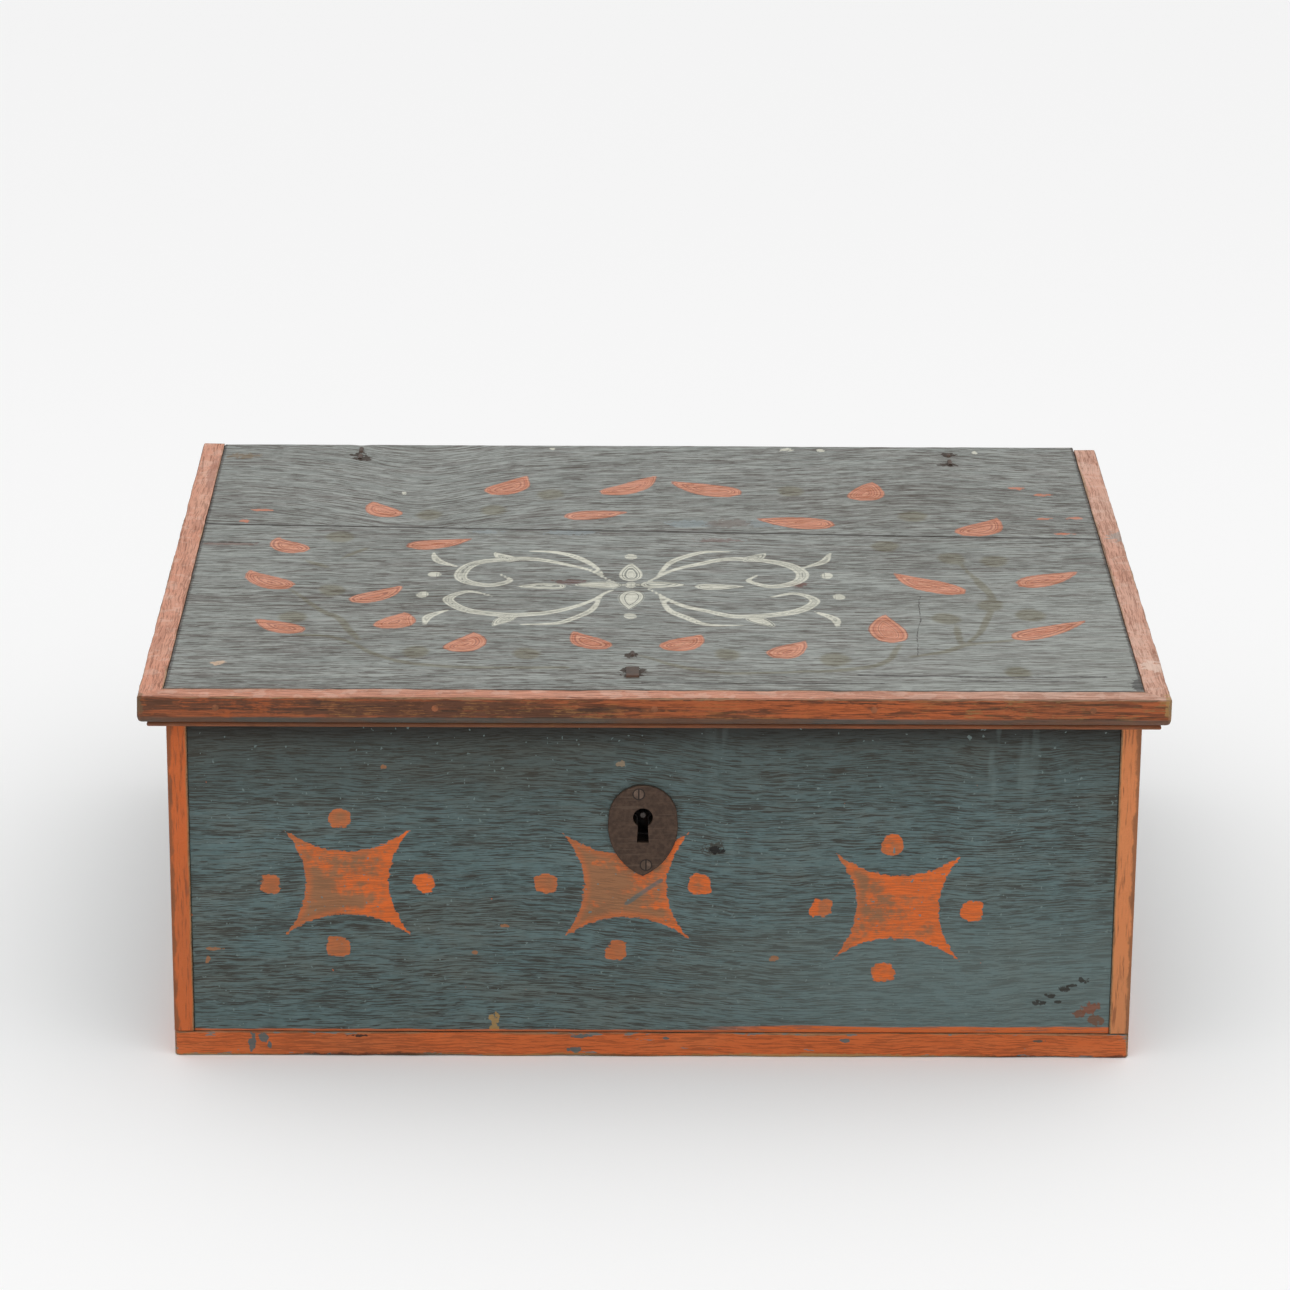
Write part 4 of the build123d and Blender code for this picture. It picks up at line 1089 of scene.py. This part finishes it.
def lid_board(node, name, near, far):
    """One fine board between two edges given as functions of x."""
    low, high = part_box(node)
    columns = int((high.x - low.x) / GRID)
    rows = int((far(0) - near(0)) / GRID)
    mesh = bmesh.new()
    bmesh.ops.create_grid(mesh, x_segments=columns, y_segments=rows, size=0.5)
    for vert in mesh.verts:
        x = low.x + (high.x - low.x) * (vert.co.x + 0.5)
        y = near(x) + (far(x) - near(x)) * (vert.co.y + 0.5)
        vert.co = (x, y, TOP - sunk(x, y))
    rim = [edge for edge in mesh.edges if edge.is_boundary]
    bmesh.ops.recalc_face_normals(mesh, faces=mesh.faces)
    walls = bmesh.ops.extrude_edge_only(mesh, edges=rim)["geom"]
    lowered = [part for part in walls if isinstance(part, bmesh.types.BMVert)]
    for vert in lowered:
        vert.co.z = UNDERSIDE
    foot = [part for part in walls if isinstance(part, bmesh.types.BMEdge) and part.is_boundary]
    bmesh.ops.edgeloop_fill(mesh, edges=foot)
    bmesh.ops.bevel(mesh, geom=rim, offset=0.6 * MM, segments=2, profile=0.5, affect="EDGES",
                    material=-1)
    bmesh.ops.recalc_face_normals(mesh, faces=mesh.faces)
    piece = finished(mesh, name, node)
    top = np.array([v.co for v in piece.data.vertices])
    hand = np.array([noise.noise_vector(place * HAND_WAVES)[:2] for place in map(Vector, top)])
    for field, values in leaf_fields(top[:, :2] / MM + hand * HAND_WOBBLE).items():
        piece.data.attributes.new(field, "FLOAT", "POINT").data.foreach_set("value", values)
    return piece


lid_front_board = lid_board("lid_board_front", "painted_lid_front", front_y, joint_y)
lid_rear_board = lid_board("lid_board_rear", "painted_lid_rear", joint_y, rear_y)

# %% [markdown]
# ## Paint on the lid
# The lid is the same blue under a grey film, rubbed to fine dashes by the grain, and lighter at the
# front right, which is painted light. Stems and leaves lie over it, then the iron's rust stains,
# and last the splits in the wood, which cut through everything.

# %% Colours and marks of the lid
LID_BLUE = (0.168, 0.188, 0.170)
LID_PALE = (0.265, 0.285, 0.262)
LID_PORE = (0.062, 0.040, 0.032)
LID_DASHES = (0.072, 0.052, 0.041)
LID_LIGHT = (0.36, 0.38, 0.35)
LEAF = (0.54, 0.150, 0.058)
LEAF_PALE = (0.68, 0.31, 0.180)
LEAF_DARK = (0.26, 0.085, 0.045)
OLIVE = (0.125, 0.110, 0.045)
CREAM_PALE = (0.68, 0.67, 0.56)
CREAM_THIN = (0.20, 0.21, 0.175)
RUSTY = (0.042, 0.024, 0.016)
CRACKS = [  # start, end, half width
    ((-237, 31.8), (-207, 30.4), 0.8), ((100, -170.9), (221, -172.6), 1.3), ((-6, -182), (112, -182.4), 0.8),
    ((137, -52), (131, -142), 0.25), ((150, -177.5), (206, -178.5), 0.7),
]
SPOTS = [  # x, y, half width, half depth, colour
    ((201, 129), (4, 2.5), LEAF), ((214, 117), (6, 2.0), LEAF), ((228, 77), (5, 2.2), LEAF),
    ((211, 76), (5, 1.8), LEAF), ((218, 50), (7, 1.5), LEAF), ((-209, 86), (6, 2.0), LEAF),
    ((-217, 67), (3, 2.4), LEAF), ((-226, 183), (9, 5), (0.16, 0.11, 0.055)),
    ((77, 198), (4, 3), CREAM_PALE), ((96, 197), (2, 3), CREAM_PALE), ((182, 194), (2, 3), CREAM_PALE),
    ((-54, 198), (1.5, 2.4), CREAM_PALE), ((-134, 116), (1.5, 2.4), CREAM_PALE),
    ((-42, -31), (9, 4), (0.10, 0.045, 0.035)), ((75, -34), (6, 4), (0.13, 0.050, 0.035)),
    ((-214, -156), (4, 3), (0.60, 0.40, 0.26)), ((22, 65), (14, 6), (0.22, 0.26, 0.265)),
    ((61, 66), (13, 7), (0.22, 0.25, 0.25)), ((41, 66), (12, 7), (0.14, 0.115, 0.095)),
    ((-87, 50), (9, 3), (0.21, 0.245, 0.25)), ((-43, 49), (14, 4), (0.21, 0.245, 0.25)),
    ((36, 37), (14, 3), (0.14, 0.085, 0.07)), ((237, -186), (5, 12), (0.03, 0.028, 0.026)),
    ((-221, 29), (17, 2.5), (0.15, 0.085, 0.06)),
]
RUST_SPOTS = [  # x, y, half width, half depth
    ((-162, 185), (4.5, 4.5)), ((-159, 178), (5.5, 4)), ((167, 190), (5, 3.5)), ((166, 171), (6, 3)),
    ((-10.5, -167), (6.5, 7)), ((-11.5, -142), (3.5, 4)),
]
print(len(SPOTS), "spots,", len(RUST_SPOTS), "rust stains and", len(CRACKS), "splits")

# %% Ground and ornament of the lid
def lid_ground(oak, shift):
    """Grey-blue paint worn to dashes, with painted light at the front right, the olive stems and the spots on
    it.
    """
    # painted light: the lid is made lighter towards its front right, and its pores show less there
    painted_light = oak.x.rise(-0.05, 0.22) * oak.y.rise(0.06, -0.16) * 0.8
    colour = oak.mix(LID_BLUE, LID_PALE, oak.patches.rise(0.42, 0.66) * 0.5 + 0.10 + painted_light)
    browned = (oak.bands * 0.6 + oak.cloud * 0.5).rise(0.56, 0.80)
    colour = oak.mix(colour, BROWNED_BLUE, browned * 0.3)
    colour = oak.mix(colour, LID_DASHES, oak.rings.rise(0.535, 0.560) * 0.58)
    colour = oak.mix(colour, LID_PALE, oak.mottled.rise(0.48, 0.58) * 0.35)
    light = oak.noise(stretched(0, 26, 440), 2, 0.6, shift + 27, oak.flow)
    colour = oak.mix(colour, LID_LIGHT, light.rise(0.54, 0.58) * 0.45)
    stem = oak.attribute("stem") + (oak.fine - 0.5) * 3.0 + (oak.patches - 0.5) * 3.0
    colour = oak.mix(colour, OLIVE, stem.rise(-0.9, 0.7) * 0.62)
    colour = oak.mix(colour, LID_PORE, oak.pores * (0.6 - painted_light * 0.4))
    return spotted(oak, colour, SPOTS, oak.y, 0.8)


def lid_ornament(oak, colour):
    """Orange leaves and the cream scroll, with the lines that a brush leaves."""
    across = oak.attribute("across")
    lines = oak.node("ShaderNodeTexNoise", {"noise_dimensions": "1D"},
                     {"W": across * 0.85 + oak.cloud * 2.0, "Scale": 1.0, "Detail": 2.0})
    depth = oak.attribute("leaf")
    leaf = oak.mix(LEAF, LEAF_PALE, (lines + (oak.fine - 0.5) * 0.4).rise(0.46, 0.56) * 0.8)
    dark_lines = (lines.rise(0.45, 0.38) + depth.rise(0.9, 0.2)) * 0.6
    leaf = oak.mix(leaf, LEAF_DARK, dark_lines)
    leaf = oak.mix(leaf, LID_PORE, oak.pores * 0.35)
    leaf_mask = (depth + (oak.fine - 0.5) * 1.6 + (oak.ragged - 0.5) * 1.5).rise(-0.3, 0.3)
    colour = oak.mix(colour, leaf, leaf_mask * 0.96)
    cream_lines = (lines + (oak.fine - 0.5) * 0.3).rise(0.38, 0.50)
    cream = oak.mix(CREAM_THIN, CREAM_PALE, cream_lines)
    cream_mask = (oak.attribute("cream") + (oak.fine - 0.5) * 1.4).rise(-0.4, 0.3)
    return oak.mix(colour, cream, cream_mask * (1.0 - oak.pores * 0.4) * 0.92)


def lid_split(oak, start, end, half):
    """1 inside a split that runs between two places."""
    gap = segment(oak, oak.y, start, end, 0.006) + (oak.ragged - 0.5) * 0.0015
    return gap.rise(half * MM, half * 0.4 * MM)


print("leaves run from", LEAF, "to", LEAF_PALE)

# %% Finish of the lid's boards
def lid_joints(oak, colour, half_width):
    """Dark lines at the joint of the two boards and beside the strips."""
    slope = (JOINT_RIGHT - JOINT_LEFT) / (lid_high.x - lid_low.x)
    from_joint = abs(oak.y - (JOINT_LEFT + JOINT_RIGHT) / 2 - oak.x * slope)
    joint = (from_joint + (oak.fine - 0.5) * 0.001).rise(1.5 * MM, 0.8 * MM)
    colour = oak.mix(colour, PORE, joint * 0.9)
    beside_strip = (half_width - abs(oak.x)).least(oak.y - lid_low.y) + (oak.ragged - 0.5) * 0.002
    return oak.mix(colour, PORE, beside_strip.rise(2.0 * MM, 0.9 * MM) * 0.85)


def lid_finish(node, shift, figures):
    low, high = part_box(node)
    oak = Oak(node + "_paint", low, high, 0, 1, shift, figures, 0.6, 1.7)
    colour = lid_ornament(oak, lid_ground(oak, shift))
    rust = largest([spot(oak, oak.y, middle, size) for middle, size in RUST_SPOTS])
    colour = oak.mix(colour, RUSTY, rust * 0.85)
    split = largest([lid_split(oak, *crack) for crack in CRACKS])
    colour = edge_paint(oak, oak.mix(colour, PORE, split * 0.9), 0.7 * MM)
    painted = oak.z.rise(UNDERSIDE + 0.5 * MM, UNDERSIDE + 1.5 * MM)
    colour = lid_joints(oak, oak.mix(oak.bare(), colour, painted), high.x)
    roughness = (0.42 + oak.pores * 0.5 + (oak.cloud - 0.5) * 0.15).most(rust)
    return oak.paint(colour, roughness, oak.relief() - split * 2.0 - rust)


FRONT_FIGURES = [(90, 70, 5), (-60, 80, -4)]
REAR_FIGURES = [(-125, 45, 34), (150, 60, -14)]
dress(lid_front_board, lid_finish("lid_board_front", 1.0, FRONT_FIGURES))
dress(lid_rear_board, lid_finish("lid_board_rear", 4.0, REAR_FIGURES))
print("both boards of the lid painted")

# %% [markdown]
# ## The escutcheon
# The keyhole's plate is sheet iron gone brown. Its rim carries a painted highlight, and painted shade
# lies round the heads of its screws.

# %% Escutcheon
SCREWS = [(-7.3, 140.8), (-3.6, 103.5)]
SCREW_HEAD = 2.5
SHEET_DARK, SHEET_LIGHT = (0.044, 0.024, 0.015), (0.082, 0.048, 0.031)
SHEET_SCRATCH, SHEET_RIM_HIGHLIGHT = (0.115, 0.076, 0.052), (0.18, 0.125, 0.09)
SCREW_SHADE = (0.012, 0.008, 0.006)


def escutcheon_finish():
    """Sheet iron gone brown, with a painted highlight on its rim and painted shade round its screws."""
    iron = Finish("escutcheon_iron", Metallic=0.55)
    scratches = iron.noise((45, 45, 900), 3, 0.7)
    grime = iron.noise((420, 420, 420), 4, 0.65, 3.0)
    colour = iron.mix(SHEET_DARK, SHEET_LIGHT, grime.rise(0.35, 0.70))
    colour = iron.mix(colour, SHEET_SCRATCH, scratches.rise(0.56, 0.66) * 0.5)
    behind_face = iron.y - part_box("escutcheon")[0].y
    # painted highlight along the rim of the plate
    rim = behind_face.rise(0.2 * MM, 0.6 * MM) * behind_face.rise(1.4 * MM, 0.8 * MM)
    colour = iron.mix(colour, SHEET_RIM_HIGHLIGHT, rim * 0.7)
    for x, z in SCREWS:
        across, upward = iron.x - x * MM, iron.z - z * MM
        # painted shade round each screw head
        reach = across * across + upward * upward
        screw_shade_band = reach.rise(((SCREW_HEAD + 0.9) * MM) ** 2, ((SCREW_HEAD + 0.3) * MM) ** 2)
        colour = iron.mix(colour, SCREW_SHADE, screw_shade_band * 0.85)
    return iron.paint(colour, 0.40 + (grime - 0.5) * 0.4, grime * 0.7 + scratches * 0.3, 0.5, 0.0003)


dress(frame["nodes"]["escutcheon"], escutcheon_finish())
# the screws counted here have painted shade round their heads
print("escutcheon dressed,", len(SCREWS), "screws in painted shade")

# %% [markdown]
# ## Nails, hinges and lock
# Forged iron keeps a skin of scale, mottled and pitted, with rust coming through. A partly
# metallic, rough surface with two scales of noise looks so. What sits outside is brown, what sits
# inside the box stayed dark, and the nails of the strips are painted over.

# %% Other iron
RUST = (0.13, 0.055, 0.030)


def iron_finish(name, dark, light, shine, metallic=0.6):
    iron = Finish(name, Metallic=metallic, Specular_IOR_Level=0.35)
    mottled = iron.noise((260, 260, 260), 4, 0.6)
    pits = iron.noise((1400, 1400, 1400), 2, 0.5)
    colour = iron.mix(dark, light, mottled.rise(0.4, 0.65))
    rust = iron.noise((90, 90, 90), 3, 0.6, 4.0)
    colour = iron.mix(colour, RUST, rust.rise(0.52, 0.72) * 0.5)
    return iron.paint(colour, shine + (mottled - 0.5) * 0.3, pits * 0.6 + mottled * 0.4, 0.35, 0.0002)


BROWN_IRON = iron_finish("brown_iron", (0.052, 0.031, 0.021), (0.085, 0.055, 0.039), 0.50, 0.3)
DARK_IRON = iron_finish("dark_iron", (0.055, 0.048, 0.045), (0.120, 0.110, 0.105), 0.6)
SCREW_IRON = iron_finish("screw_iron", (0.085, 0.056, 0.040), (0.15, 0.10, 0.075), 0.42, 0.5)
PAINTED_NAILS = iron_finish("painted_nails", (0.20, 0.075, 0.030), (0.33, 0.11, 0.045), 0.6, 0.0)
slots = {part["node"]: part["material_slot"] for part in frame["record"]["subparts"]}
special = {"moulding_nails": PAINTED_NAILS, "escutcheon_screws": SCREW_IRON}
plain = {"brown_iron": BROWN_IRON, "dark_iron": DARK_IRON}
for name, node in frame["nodes"].items():
    if slots[name] in plain and name != "escutcheon":
        dress(node, special.get(name, plain[slots[name]]))
print("iron pieces dressed:", sum(slot in plain for slot in slots.values()))
